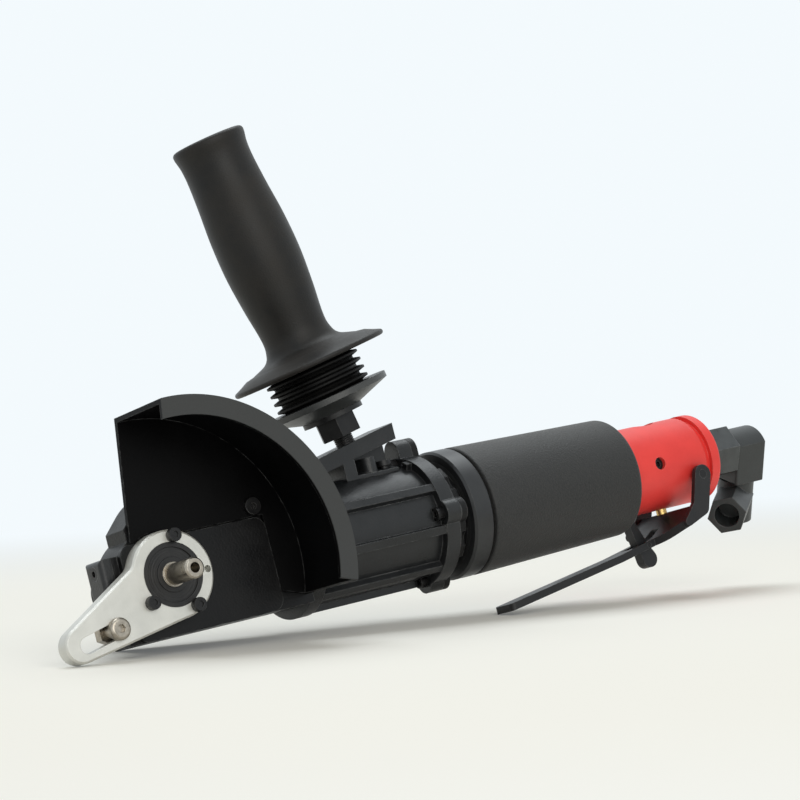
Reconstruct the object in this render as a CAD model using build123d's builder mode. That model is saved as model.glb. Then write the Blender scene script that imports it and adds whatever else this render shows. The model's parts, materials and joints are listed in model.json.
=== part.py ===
from build123d import *
import os
from math import cos, hypot, radians, sin, sqrt, tan

# Pneumatic burnishing tool in millimetres.
# It is drawn with the motor axis along X, the spindle pointing to -Y and the side handle
# upwards. The finished pieces are then laid down as the tool rests on a table: on the support
# arm, the gear head's lower back edge and the tip of the throttle lever. They are written with
# the origin where the spindle's bare end begins.

# Resting pose
rest_roll = 10.18
rest_pitch = 6.97

# Clearances
seat_fit = 0.02
run_fit = 0.05
body_gap = 0.3
chamber_gap = 1.2

# Bevel gears between drive shaft and spindle
bevel_module = 1.4
pinion_teeth = 12
crown_teeth = 24
bevel_face = 7
bevel_notch_depth = 1
bevel_notch_width = 1.4
tooth_gap = 0.3
crown_rim = 6
crown_hub_radius = 9.5
crown_hub_lead = 3
pinion_hub_length = 8.88
pinion_hub_radius = 7.5
pinion_bore = 3.4

# Planetary stage
gear_module = 1
sun_teeth = 10
planet_teeth = 12
planet_count = 3
planet_first_angle = 90
planet_length = 12
gear_notch_radius = 0.55
ring_gear_wall = 4
carrier_thickness = 6
carrier_rim = 4
planet_pin_radius = 2
sun_bore = 3

# Ball bearings
front_bearing_bore = 5
front_bearing_radius = 13
front_bearing_width = 8
rear_bearing_bore = 4
rear_bearing_radius = 9
rear_bearing_width = 5
pinion_bearing_bore = 5
pinion_bearing_radius = 13
pinion_bearing_width = 8
carrier_bearing_bore = 6
carrier_bearing_radius = 14
carrier_bearing_width = 8
rotor_bearing_bore = 4
rotor_bearing_radius = 9.5
rotor_bearing_width = 6
bearing_ring_wall = 2
bearing_groove_depth = 0.6

# Gear head
front_wall = 6.44
head_wall = 2.5
head_back = 19
head_top = 32
head_drop = 23.38
case_left = 8
case_top = 12
shoulder_back = 6
shoulder_left = 11.6
shoulder_chamfer = 10
head_edge_radius = 4
neck_gap = 0.5
block_rise = 3
block_front = 17.5
block_rear = 50
block_top = 15.5
block_corner = 5
bearing_spacer_wall = 2
housing_spigot_length = 11.8
housing_spigot_wall = 4
rear_cap_flange = 11
rear_cap_thickness = 2

# Nose cap on the gear head's left end
nose_back = 8.5
nose_cap_length = 5
nose_cap_bottom = -9
nose_cap_top = 12.3
nose_cap_edge = 2
nose_screw_spread = 6
nose_screw_bite = 2.4

# Spindle
spindle_radius = 4.25
spindle_stand = 18.3
spindle_body_radius = 6
spindle_collar_radius = 8
spindle_tip_chamfer = 0.7
tip_thread_radius = 2.1
tip_thread_depth = 13
journal_lead = 0.5

# Support arm
arm_thickness = 7
arm_ring_radius = 18
arm_end_radius = 7.2
arm_reach = 49.3
arm_angle = -157.7
arm_neck_radius = 15.8
arm_neck_reach = 2.1
arm_neck_angle = -80.5
arm_neck_blend = 6
arm_edge = 0.8
arm_screw_circle = 15.5
arm_screw_angles = (77, -144, -63)
arm_pin_angle = -3
arm_pin_radius = 1.4
arm_pin_depth = 4
slot_start_reach = 33.4
slot_start_angle = -151.5
slot_angle = -167
slot_travel = 14.5
slot_screw_radius = 3
slot_screw_head = 4.5
slot_screw_head_height = 3
slot_screw_socket = 1.8
slot_nut_size = 4.5
slot_nut_turn = 30
slot_nut_height = 4.4

# Small screws
m3_radius = 1.5
m3_head_radius = 2.75
m3_head_height = 3
m4_radius = 2
m4_head_radius = 3.5
m4_head_height = 2.4
socket_radius = 1.45
socket_depth = 1.6
screw_bite = 6.5

# Wheel guard
guard_radius = 66
guard_gap = 1.48
guard_sheet = 2
guard_depth = 41
guard_lip = 8
guard_lower_angle = 17.3
guard_left_foot = -11.2
guard_left_lean = 8.4
guard_screw_place = (46, 20)

# Ribbed gear housing and motor adapter
housing_length = 74
housing_wall = 3.4
rib_count = 9
rib_first_angle = 155
rib_width = 3.6
rib_height = 3
flange_rise = 0.6
front_flange_length = 6
rear_flange_length = 7
lug_circle = 25.5
lug_radius = 5.5
lug_first_angle = 90
lug_count = 4
ear_rise = 5
adapter_length = 7.9
adapter_radius = 24.5
adapter_groove_length = 2.6
adapter_groove_depth = 2.5
adapter_flange_length = 3
scallop_count = 12
scallop_radius = 5
scallop_depth = 1.5
adapter_spigot_length = 6
adapter_front_spigot = 17
shaft_room = 2

# Handle bracket
bracket_setback = 24.5
bracket_length = 40
bracket_half_width = 10
bracket_front_height = 34.4
bracket_plate = 7
bracket_post_lead = 11
bracket_post = 6
bracket_base = 1.6
bracket_web = 4
bracket_heel = 2.2
bracket_seat_half_width = 13.2
pillar_lead = 25.4
pillar_radius = 3.6
bracket_screw_lead = 33
bracket_screw_side = 6.2

# Side handle, measured along its own axis from the bracket's top face
handle_rake = 12.3
handle_lead = 21.15
stud_radius = 4
stud_sink = 6.5
stud_top = 72
stud_show = 3.8
nut_size = 8.3
nut_height = 8.5
washer_radius = 13.5
washer_thickness = 2.1
damper_plate_radius = 28
damper_plate_thickness = 2.5
damper_plate_cone = 4.9
damper_radius = 21
damper_valley_radius = 18.2
damper_length = 14.5
damper_ribs = 4
damper_rib_flank = 1.3
grip_length = 105.5
grip_flange_radius = 34.4
grip_flange_thickness = 2.6
grip_flange_cone = 6.5
grip_root_radius = 15.6
grip_waist_radius = 14
grip_waist_place = 14
grip_belly_radius = 17.2
grip_belly_place = 48
grip_neck_radius = 15.1
grip_neck_place = 92
grip_end_radius = 16.2
grip_end_edge = 1.5
grip_end_recess = 8
grip_end_recess_depth = 2
core_radius = 9
core_length = 92

# Motor
collar_length = 10.2
collar_radius = 28.2
collar_edge = 1
sleeve_groove = 1.2
sleeve_length = 82.8
sleeve_front_radius = 28.2
sleeve_rear_radius = 26.5
sleeve_front_round = 0.8
sleeve_end_round = 2.2
tube_radius = 24
tube_wall = 2.8
tube_setback = 0.4
end_plate_length = 8
liner_length = 56
liner_wall = 4
liner_offset = 2
rotor_gap = 0.2
vane_count = 5
vane_thickness = 2
vane_slot_depth = 6.5

# Red valve housing
valve_housing_length = 52
valve_housing_radius = 19.8
valve_rim_rise = 0.3
valve_rim_length = 5.5
valve_rim_round = 1.6
valve_groove_width = 3.4
valve_groove_depth = 1.8
valve_lead = 26.2
valve_chamber_radius = 6.5
valve_chamber_floor = -8
valve_plug_foot = 10
valve_plug_sink = 1.6
valve_seat_height = 3
valve_seat_bore = 3.4
valve_pin_radius = 2.4
poppet_radius = 5.6
poppet_height = 2.5
poppet_edge = 0.8
spring_radius = 4.2
spring_wire_radius = 0.45
spring_turns = 4
air_way_radius = 2.6
air_way_drop = 11
set_screw_lead = 17
set_screw_radius = 2.8
set_screw_length = 6
set_screw_sink = 2

# Throttle lever, measured from its pivot
pivot_lead = 36.6
pivot_drop = 9
pivot_radius = 2
pivot_depth = 6
fork_thickness = 2.5
fork_gap = 0.7
fork_eye_radius = 4.3
fork_foot_radius = 4.2
fork_toe_radius = 1.9
lever_heel = (-5.5, -14)
lever_knee = (-22.1, -24.1)
lever_bend = (-44, -28)
lever_tip = (-108.7, -36.8)
lever_sheet = 3.2
lever_bend_radius = 14
lever_half_width = 7
lever_shoulder_front = 24
lever_shoulder_rear = 14.5
lever_tip_round = 2.5

# Safety latch on the lever, measured from its pin
latch_lead = 27.4
latch_pin_radius = 1.1
latch_pin_half_length = 7
latch_half_width = 2.6
latch_leg = 10.5
latch_leg_lean = 16
latch_leg_radius = 1.9
latch_tab = 6.2
latch_tab_lean = 18
latch_tab_radius = 4
latch_hub_radius = 2.8
latch_slot_front = 9
latch_slot_rear = 11

# Air inlet
inlet_thread_radius = 9
inlet_thread_length = 18
inlet_bore = 4.5
inlet_hex = 10.5
inlet_hex_length = 19.2
inlet_stem_radius = 6
inlet_stem_length = 12
seal_section = 1.2
seal_lead = 3
swivel_turn = 28
swivel_width = 17
swivel_half_depth = 9.5
swivel_top = 9
swivel_shoulder = 4.4
swivel_bottom = -14.6
swivel_edge = 1
elbow_neck_radius = 5.6
elbow_neck_length = 7
elbow_height = 20
elbow_radius = 8.4
elbow_reach = 25
elbow_aim = -140
port_radius = 5.7
port_hex = 8
port_hex_turn = 18
port_depth = 13

# Places and sizes that follow from these
pinion_pitch = bevel_module * pinion_teeth / 2
crown_pitch = bevel_module * crown_teeth / 2
cone_length = hypot(pinion_pitch, crown_pitch)
toe_share = 1 - bevel_face / cone_length
chamber_radius = crown_pitch + chamber_gap
chamber_back = -pinion_pitch - chamber_gap
crown_back = pinion_pitch + crown_rim
chamber_front = crown_back + chamber_gap
chamber_heel = pinion_pitch - chamber_gap
chamber_toe = pinion_pitch * toe_share - chamber_gap
pinion_toe = crown_pitch * toe_share
toe_room = pinion_toe + chamber_gap
hub_room = crown_hub_radius + chamber_gap
hub_back = crown_hub_lead - chamber_gap
bowl_radius = chamber_radius + head_wall
pinion_room = pinion_pitch + chamber_gap
bore_front = pinion_toe - chamber_gap
head_face = chamber_front + front_wall
head_bottom = -head_drop
block_face = head_face + block_rise
seat_face = block_face + arm_thickness
front_bearing_back = seat_face - front_bearing_width
spindle_step = seat_face + journal_lead
spindle_tip = seat_face + spindle_stand
rear_bearing_back = chamber_back - rear_bearing_width
head_rear = guard_radius + guard_gap
housing_spigot_front = head_rear - housing_spigot_length
pinion_bearing_one = crown_pitch + pinion_hub_length
pinion_bearing_two = housing_spigot_front - pinion_bearing_width
bearing_spacer_front = pinion_bearing_one + pinion_bearing_width
bearing_spacer_length = pinion_bearing_two - bearing_spacer_front
housing_rear = head_rear + housing_length
rear_flange_front = housing_rear - rear_flange_length
adapter_rear = housing_rear + adapter_length
collar_rear = adapter_rear + collar_length
sleeve_front = collar_rear + sleeve_groove
sleeve_rear = sleeve_front + sleeve_length
tube_rear = sleeve_rear - tube_setback
tube_bore = tube_radius - tube_wall
insert_radius = tube_bore - seat_fit
front_plate_front = adapter_rear + adapter_spigot_length
liner_front = front_plate_front + end_plate_length
liner_rear = liner_front + liner_length
rear_plate_rear = liner_rear + end_plate_length
liner_bore = insert_radius - liner_wall
rotor_radius = liner_bore - liner_offset - rotor_gap
sun_pitch = gear_module * sun_teeth / 2
planet_pitch = gear_module * planet_teeth / 2
planet_circle = sun_pitch + planet_pitch
ring_pitch = planet_circle + planet_pitch
ring_gear_radius = ring_pitch + ring_gear_wall
ring_gear_length = planet_length + 2 * body_gap
ring_gear_rear = housing_rear - adapter_front_spigot
ring_gear_front = ring_gear_rear - ring_gear_length
planet_front = ring_gear_front + body_gap
carrier_front = ring_gear_front - carrier_thickness
carrier_bearing_front = carrier_front - body_gap - carrier_bearing_width
carrier_chamber_front = carrier_front - body_gap
housing_radius = ring_gear_radius + housing_wall
rib_radius = hypot(housing_radius + rib_height, rib_width / 2)
flange_radius = rib_radius + flange_rise
bracket_front = head_rear + bracket_setback
valve_front = tube_rear
valve_rear = valve_front + valve_housing_length
valve_x = valve_front + valve_lead
valve_seat_top = valve_chamber_floor + valve_seat_height
pivot_x = valve_front + pivot_lead
fork_inner = valve_housing_radius + fork_gap
fork_outer = fork_inner + fork_thickness
inlet_front = valve_rear - inlet_thread_length
hex_rear = valve_rear + inlet_hex_length
swivel_front = hex_rear + body_gap
swivel_x = swivel_front + swivel_width / 2
elbow_top = swivel_bottom - body_gap
elbow_mid = elbow_top - elbow_height / 2


def across(x):
    """Plane square to the motor axis, facing the rear."""
    return Plane.YZ.offset(x)


def facing(distance):
    """Plane square to the spindle, a distance in front of the motor axis."""
    return Plane.XZ.offset(distance)


def polar(radius, angle):
    """Place in a plane, by radius and angle."""
    return (radius * cos(radians(angle)), radius * sin(radians(angle)))


def from_pivot(offset):
    """Place beside the motor axis, measured from the lever's pivot."""
    return (pivot_x + offset[0], offset[1] - pivot_drop)


def ring(plane, outer, inner, length):
    """Plain ring that stands on a plane."""
    with BuildPart() as piece:
        with BuildSketch(plane):
            Circle(outer)
            Circle(inner, mode=Mode.SUBTRACT)
        extrude(amount=length)
    return piece.part


def rods(plane, places, radius, length):
    """Round rods that stand on a plane, or go down from it where the length is negative."""
    with BuildPart() as piece:
        with BuildSketch(plane):
            with Locations(*places):
                Circle(radius)
        extrude(amount=length)
    return piece.part


def socket_screws(plane, places, radius, length, head_radius, head_height, socket):
    """Socket screws whose heads stand on a plane."""
    with BuildPart() as piece:
        with BuildSketch(plane):
            with Locations(*places):
                Circle(head_radius)
        extrude(amount=head_height)
        with BuildSketch(plane):
            with Locations(*places):
                Circle(radius)
        extrude(amount=-length)
        with BuildSketch(plane.offset(head_height)):
            with Locations(*places):
                RegularPolygon(socket, 6)
        extrude(amount=-socket_depth, mode=Mode.SUBTRACT)
    return piece.part


def bearing(plane, outer, bore, width):
    """Sealed ball bearing, with a shallow groove between its rings on each side."""
    with BuildPart() as piece:
        with BuildSketch(plane):
            Circle(outer)
            Circle(bore + run_fit, mode=Mode.SUBTRACT)
        extrude(amount=width)
        for side in (plane, plane.offset(width - bearing_groove_depth)):
            with BuildSketch(side):
                Circle(outer - bearing_ring_wall)
                Circle(bore + bearing_ring_wall, mode=Mode.SUBTRACT)
            extrude(amount=bearing_groove_depth, mode=Mode.SUBTRACT)
    return piece.part


def spur_gear(plane, pitch, teeth, bore, length):
    """Gear whose tooth tips stay half a tooth gap inside its pitch circle."""
    tip = pitch - tooth_gap / 2
    with BuildPart() as piece:
        with BuildSketch(plane):
            Circle(tip)
            with PolarLocations(tip, teeth):
                Circle(gear_notch_radius, mode=Mode.SUBTRACT)
            Circle(bore, mode=Mode.SUBTRACT)
        extrude(amount=length)
    return piece.part


def turned(plane, axis, outline):
    """Solid of revolution from a closed outline of straight lines."""
    with BuildPart() as piece:
        with BuildSketch(plane):
            with BuildLine():
                Polyline(*outline, close=True)
            make_face()
        revolve(axis=axis)
    return piece.part


def shaft_outline(start, steps):
    """Half section of a stepped shaft: pairs of a step's end and its radius, from a start."""
    outline = [(start, 0)]
    place = start
    for end, radius in steps:
        outline.append((place, radius))
        outline.append((end, radius))
        place = end
    outline.append((place, 0))
    return outline


def across_spindle(outline):
    """Turn places along and beside the spindle into the XY plane."""
    return [(radius, -distance) for distance, radius in outline]


def bevel_notch(shift):
    """Cutter for one tooth gap along the line where the two bevel gears meet."""
    middle = (1 + toe_share) / 2
    plane = Plane(
        origin=(crown_pitch * middle, -pinion_pitch * middle - shift, 0),
        x_dir=(crown_pitch, -pinion_pitch, 0),
        z_dir=(pinion_pitch, crown_pitch, 0),
    )
    with BuildPart(plane) as cutter:
        Box(bevel_face + 2 * bevel_notch_depth, bevel_notch_width, 2 * bevel_notch_depth)
    return cutter.part


# Gear head: low case behind, shoulder block, nose, bowl round the crown gear, boss and round neck
arm_screw_places = [polar(arm_screw_circle, angle) for angle in arm_screw_angles]
head_screw_depth = screw_bite + seat_fit
nose_screw_places = ((0, -nose_screw_spread), (0, nose_screw_spread))
nose_cap_height = nose_cap_top - nose_cap_bottom
nose_cap_depth = head_face - nose_back
nose_plane = Plane(
    origin=(-bowl_radius, -(head_face + nose_back) / 2, (nose_cap_top + nose_cap_bottom) / 2),
    x_dir=(0, -1, 0),
    z_dir=(-1, 0, 0),
)
head_bowl = turned(
    Plane.XY,
    Axis.Y,
    across_spindle(
        [
            (head_face, 0),
            (head_face, bowl_radius),
            (chamber_heel - head_wall, bowl_radius),
            (chamber_toe - head_wall, toe_room + head_wall),
            (chamber_toe - head_wall, 0),
        ]
    ),
)
head_chamber = turned(
    Plane.XY,
    Axis.Y,
    across_spindle(
        [
            (chamber_front, 0),
            (chamber_front, chamber_radius),
            (chamber_heel, chamber_radius),
            (chamber_toe, toe_room),
            (chamber_toe, hub_room),
            (hub_back, hub_room),
            (hub_back, 0),
        ]
    ),
)
with BuildPart() as head_case:
    with BuildSketch(facing(-head_back)):
        with Locations(((guard_radius - case_left) / 2, (case_top + head_bottom) / 2)):
            Rectangle(guard_radius + case_left, case_top - head_bottom)
    extrude(amount=head_back + nose_back)
    fillet(head_case.edges().filter_by(Axis.X).group_by(Axis.Y)[-1], radius=head_edge_radius)
with BuildPart() as gear_head:
    with BuildSketch(facing(shoulder_back)):
        with BuildLine():
            Polyline(
                (-shoulder_left, head_bottom),
                (guard_radius, head_bottom),
                (guard_radius, head_top),
                (shoulder_chamfer - shoulder_left, head_top),
                (-shoulder_left, head_top - shoulder_chamfer),
                close=True,
            )
        make_face()
    extrude(amount=head_face - shoulder_back)
    fillet(gear_head.edges().filter_by(Axis.X).group_by(Axis.Y)[-1], radius=head_edge_radius)
    with BuildSketch(facing(nose_back)):
        with Locations((-bowl_radius / 2, (nose_cap_top + head_bottom) / 2)):
            Rectangle(bowl_radius, nose_cap_top - head_bottom)
    extrude(amount=nose_cap_depth)
    add(head_case.part)
    add(head_bowl)
    with BuildSketch(facing(-head_back)):
        Circle(rear_bearing_radius + head_wall)
    extrude(amount=head_back + chamber_toe)
    with BuildSketch(across(bore_front - head_wall)):
        Circle(pinion_room + head_wall)
    extrude(amount=pinion_bearing_one - bore_front)
    with BuildSketch(across(pinion_bearing_one - head_wall)):
        Circle(head_face - neck_gap)
    extrude(amount=head_rear - pinion_bearing_one + head_wall)
    with BuildSketch(facing(head_face)):
        with Locations(((block_rear - block_front) / 2, (block_top + head_bottom) / 2)):
            RectangleRounded(block_rear + block_front, block_top - head_bottom, block_corner)
        Circle(arm_ring_radius)
    extrude(amount=block_rise)
    add(head_chamber, mode=Mode.SUBTRACT)
    with BuildSketch(across(bore_front)):
        Circle(pinion_room)
    extrude(amount=pinion_bearing_one - bore_front, mode=Mode.SUBTRACT)
    with BuildSketch(across(pinion_bearing_one)):
        Circle(pinion_bearing_radius + seat_fit)
    extrude(amount=head_rear - pinion_bearing_one, mode=Mode.SUBTRACT)
    with BuildSketch(facing(-head_back)):
        Circle(rear_bearing_radius + seat_fit)
    extrude(amount=head_back + hub_back, mode=Mode.SUBTRACT)
    with BuildSketch(facing(chamber_front)):
        Circle(spindle_collar_radius + body_gap)
    extrude(amount=block_face - chamber_front, mode=Mode.SUBTRACT)
    with BuildSketch(facing(front_bearing_back)):
        Circle(front_bearing_radius + seat_fit)
    extrude(amount=block_face - front_bearing_back, mode=Mode.SUBTRACT)
    with BuildSketch(facing(block_face)):
        with Locations(*arm_screw_places):
            Circle(m3_radius + seat_fit)
    extrude(amount=-head_screw_depth, mode=Mode.SUBTRACT)
    with BuildSketch(facing(head_face)):
        with Locations(guard_screw_place):
            Circle(m4_radius + seat_fit)
    extrude(amount=-head_screw_depth, mode=Mode.SUBTRACT)
    add(
        rods(nose_plane, nose_screw_places, m3_radius + seat_fit, -nose_screw_bite),
        mode=Mode.SUBTRACT,
    )

# Cap on the nose with its two screws, whose heads are sunk flush
nose_screw_seat = nose_cap_length - m3_head_height
with BuildPart() as nose_cap:
    with BuildSketch(nose_plane):
        Rectangle(nose_cap_depth, nose_cap_height)
    extrude(amount=nose_cap_length)
    fillet(nose_cap.faces().sort_by(Axis.X)[0].edges(), radius=nose_cap_edge)
    add(
        rods(nose_plane, nose_screw_places, m3_radius + seat_fit, nose_cap_length),
        mode=Mode.SUBTRACT,
    )
    add(
        rods(
            nose_plane.offset(nose_screw_seat), nose_screw_places,
            m3_head_radius + seat_fit, m3_head_height,
        ),
        mode=Mode.SUBTRACT,
    )
nose_cap_screws = socket_screws(
    nose_plane.offset(nose_screw_seat), nose_screw_places, m3_radius,
    nose_screw_seat + nose_screw_bite, m3_head_radius, m3_head_height, socket_radius,
)

# Spindle, threaded in its end
with BuildPart() as spindle:
    add(
        turned(
            Plane.XY,
            Axis.Y,
            across_spindle(
                shaft_outline(
                    rear_bearing_back + journal_lead,
                    (
                        (chamber_back + journal_lead, rear_bearing_bore),
                        (crown_back, spindle_body_radius),
                        (front_bearing_back - body_gap, spindle_collar_radius),
                        (spindle_step, front_bearing_bore),
                        (spindle_tip, spindle_radius),
                    ),
                )
            ),
        )
    )
    chamfer(spindle.edges().sort_by(Axis.Y)[0], length=spindle_tip_chamfer)
    with BuildSketch(facing(spindle_tip)):
        Circle(tip_thread_radius)
    extrude(amount=-tip_thread_depth, mode=Mode.SUBTRACT)

# Crown gear on the spindle and bevel pinion on the drive shaft
crown_toe = (pinion_pitch * toe_share + tooth_gap, pinion_toe)
crown_heel = (pinion_pitch + tooth_gap, crown_pitch)
crown_bore = spindle_body_radius + seat_fit
crown_step = 360 / crown_teeth
pinion_step = 360 / pinion_teeth
with BuildPart() as crown_gear:
    add(
        turned(
            Plane.XY,
            Axis.Y,
            across_spindle(
                [
                    (crown_hub_lead, crown_bore),
                    (crown_hub_lead, crown_hub_radius),
                    (crown_toe[0], crown_hub_radius),
                    crown_toe,
                    crown_heel,
                    (crown_back, crown_pitch),
                    (crown_back, crown_bore),
                ]
            ),
        )
    )
    for index in range(crown_teeth):
        add(
            bevel_notch(tooth_gap).rotate(Axis.Y, index * crown_step + crown_step / 2),
            mode=Mode.SUBTRACT,
        )
with BuildPart() as bevel_pinion:
    add(
        turned(
            Plane.XZ,
            Axis.X,
            [
                (pinion_toe, pinion_bore + seat_fit),
                (pinion_toe, pinion_pitch * toe_share),
                (crown_pitch, pinion_pitch),
                (crown_pitch, pinion_hub_radius),
                (pinion_bearing_one, pinion_hub_radius),
                (pinion_bearing_one, pinion_bore + seat_fit),
            ],
        )
    )
    for index in range(pinion_teeth):
        add(
            bevel_notch(0).rotate(Axis.X, index * pinion_step),
            mode=Mode.SUBTRACT,
        )

# Bearings of the spindle and the cap behind the rear one
front_bearing = bearing(
    facing(front_bearing_back), front_bearing_radius, front_bearing_bore, front_bearing_width
)
rear_bearing = bearing(
    facing(rear_bearing_back), rear_bearing_radius, rear_bearing_bore, rear_bearing_width
)
with BuildPart() as rear_cap:
    with BuildSketch(facing(-head_back)):
        Circle(rear_bearing_radius)
    extrude(amount=rear_bearing_back + head_back)
    with BuildSketch(facing(-head_back)):
        Circle(rear_cap_flange)
    extrude(amount=-rear_cap_thickness)
    chamfer(rear_cap.edges().sort_by(Axis.Y)[-1], length=rear_cap_thickness / 2)

# Support arm: a ring round the front bearing that runs out into a slotted finger
arm_end = polar(arm_reach, arm_angle)
slot_start = polar(slot_start_reach, slot_start_angle)
slot_run = polar(slot_travel, slot_angle)
slot_middle = (slot_start[0] + slot_run[0] / 2, slot_start[1] + slot_run[1] / 2)
slot_width = 2 * (slot_screw_radius + body_gap)
with BuildPart() as support_arm:
    with BuildSketch(facing(block_face)) as arm_plan:
        with Locations(polar(arm_neck_reach, arm_neck_angle)):
            Circle(arm_neck_radius)
        with Locations(arm_end):
            Circle(arm_end_radius)
        make_hull()
        Circle(arm_ring_radius)
        ring_corners = arm_plan.vertices().filter_by(
            lambda corner: corner.X < 0 and abs(hypot(corner.X, corner.Y) - arm_ring_radius) < seat_fit
        )
        fillet(ring_corners.sort_by(Axis.Y)[-1], radius=arm_neck_blend)
    extrude(amount=arm_thickness)
    chamfer(support_arm.faces().sort_by(Axis.Y)[0].edges(), length=arm_edge)
    with BuildSketch(facing(block_face)):
        Circle(front_bearing_radius + seat_fit)
        with Locations(slot_middle):
            SlotCenterToCenter(slot_travel, slot_width, rotation=slot_angle)
        with Locations(*arm_screw_places):
            Circle(m3_radius + seat_fit)
    extrude(amount=arm_thickness, mode=Mode.SUBTRACT)
    with BuildSketch(facing(seat_face)):
        with Locations(polar(arm_screw_circle, arm_pin_angle)):
            Circle(arm_pin_radius)
    extrude(amount=-arm_pin_depth, mode=Mode.SUBTRACT)
arm_screws = socket_screws(
    facing(seat_face), arm_screw_places, m3_radius, arm_thickness + screw_bite,
    m3_head_radius, m3_head_height, socket_radius,
)

# Screw that slides in the arm's slot, and its nut behind the arm
with BuildPart() as slot_screw:
    with BuildSketch(facing(seat_face + run_fit)):
        with Locations(slot_start):
            Circle(slot_screw_head)
    extrude(amount=slot_screw_head_height)
    fillet(slot_screw.edges().sort_by(Axis.Y)[0], radius=slot_screw_head_height / 2)
    with BuildSketch(facing(seat_face + run_fit)):
        with Locations(slot_start):
            Circle(slot_screw_radius)
    extrude(amount=-arm_thickness - 2 * run_fit - slot_nut_height)
    with BuildSketch(facing(seat_face + run_fit + slot_screw_head_height)):
        with Locations(slot_start):
            RegularPolygon(slot_screw_socket, 6)
    extrude(amount=-socket_depth, mode=Mode.SUBTRACT)
with BuildPart() as slot_nut:
    with BuildSketch(facing(block_face - run_fit)):
        with Locations(slot_start):
            RegularPolygon(slot_nut_size, 6, major_radius=False, rotation=slot_nut_turn)
            Circle(slot_screw_radius + seat_fit, mode=Mode.SUBTRACT)
    extrude(amount=-slot_nut_height)

# Wheel guard: back plate, skirt and turned-in lip, cut to one sector
guard_far = 2 * guard_radius
guard_edge = block_rear + neck_gap
guard_outline = (
    (guard_left_foot, block_top + neck_gap),
    (guard_left_foot + guard_far * tan(radians(guard_left_lean)), block_top + guard_far),
    (guard_far, block_top + guard_far),
    (guard_far, -guard_far * tan(radians(guard_lower_angle))),
    (guard_edge, -guard_edge * tan(radians(guard_lower_angle))),
    (guard_edge, block_top + neck_gap),
)
guard_layers = (
    (head_face, 0, guard_sheet),
    (head_face, guard_radius - guard_sheet, guard_depth),
    (head_face + guard_depth - guard_sheet, guard_radius - guard_lip, guard_sheet),
)
with BuildPart() as wheel_guard:
    for layer_start, layer_bore, layer_depth in guard_layers:
        with BuildSketch(facing(layer_start)):
            Circle(guard_radius)
            if layer_bore:
                Circle(layer_bore, mode=Mode.SUBTRACT)
            Polygon(*guard_outline, align=None, mode=Mode.INTERSECT)
        extrude(amount=layer_depth)
    with BuildSketch(facing(head_face)):
        Circle(arm_ring_radius + neck_gap)
        with Locations(guard_screw_place):
            Circle(m4_radius + seat_fit)
    extrude(amount=guard_sheet, mode=Mode.SUBTRACT)
guard_screw = socket_screws(
    facing(head_face + guard_sheet), [guard_screw_place], m4_radius, guard_sheet + screw_bite,
    m4_head_radius, m4_head_height, socket_radius,
)

# Drive shaft with its bearings and the spacer between them
drive_shaft = turned(
    Plane.XZ,
    Axis.X,
    shaft_outline(
        pinion_toe,
        (
            (pinion_bearing_one, pinion_bore),
            (carrier_bearing_front, pinion_bearing_bore),
            (carrier_front, carrier_bearing_bore),
            (ring_gear_front - body_gap, pinion_bearing_bore),
        ),
    ),
)
with BuildPart() as pinion_bearings:
    for place in (pinion_bearing_one, pinion_bearing_two):
        add(bearing(across(place), pinion_bearing_radius, pinion_bearing_bore, pinion_bearing_width))
bearing_spacer = ring(
    across(bearing_spacer_front),
    pinion_bearing_radius,
    pinion_bearing_radius - bearing_spacer_wall,
    bearing_spacer_length,
)
carrier_bearing = bearing(
    across(carrier_bearing_front), carrier_bearing_radius, carrier_bearing_bore, carrier_bearing_width
)

# Planetary stage
planet_step = 360 / planet_count
planet_angles = [planet_first_angle + index * planet_step for index in range(planet_count)]
planet_places = [polar(planet_circle, angle) for angle in planet_angles]
with BuildPart() as planet_carrier:
    with BuildSketch(across(carrier_front)):
        Circle(planet_circle + carrier_rim)
        Circle(pinion_bearing_bore + seat_fit, mode=Mode.SUBTRACT)
    extrude(amount=carrier_thickness - body_gap)
    with BuildSketch(across(carrier_front)):
        with Locations(*planet_places):
            Circle(planet_pin_radius)
    extrude(amount=carrier_thickness + ring_gear_length)
planet_gears = []
for place in planet_places:
    planet_plane = Plane(origin=(planet_front, *place), x_dir=(0, 1, 0), z_dir=(1, 0, 0))
    planet_gears.append(
        spur_gear(planet_plane, planet_pitch, planet_teeth, planet_pin_radius + run_fit, planet_length)
    )
ring_teeth = sun_teeth + 2 * planet_teeth
ring_tip = ring_pitch + tooth_gap / 2
with BuildPart() as ring_gear:
    with BuildSketch(across(ring_gear_front)):
        Circle(ring_gear_radius)
        Circle(ring_tip, mode=Mode.SUBTRACT)
        with PolarLocations(ring_tip, ring_teeth):
            Circle(gear_notch_radius, mode=Mode.SUBTRACT)
    extrude(amount=ring_gear_length)
sun_gear = spur_gear(across(planet_front), sun_pitch, sun_teeth, sun_bore + seat_fit, planet_length)

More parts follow.
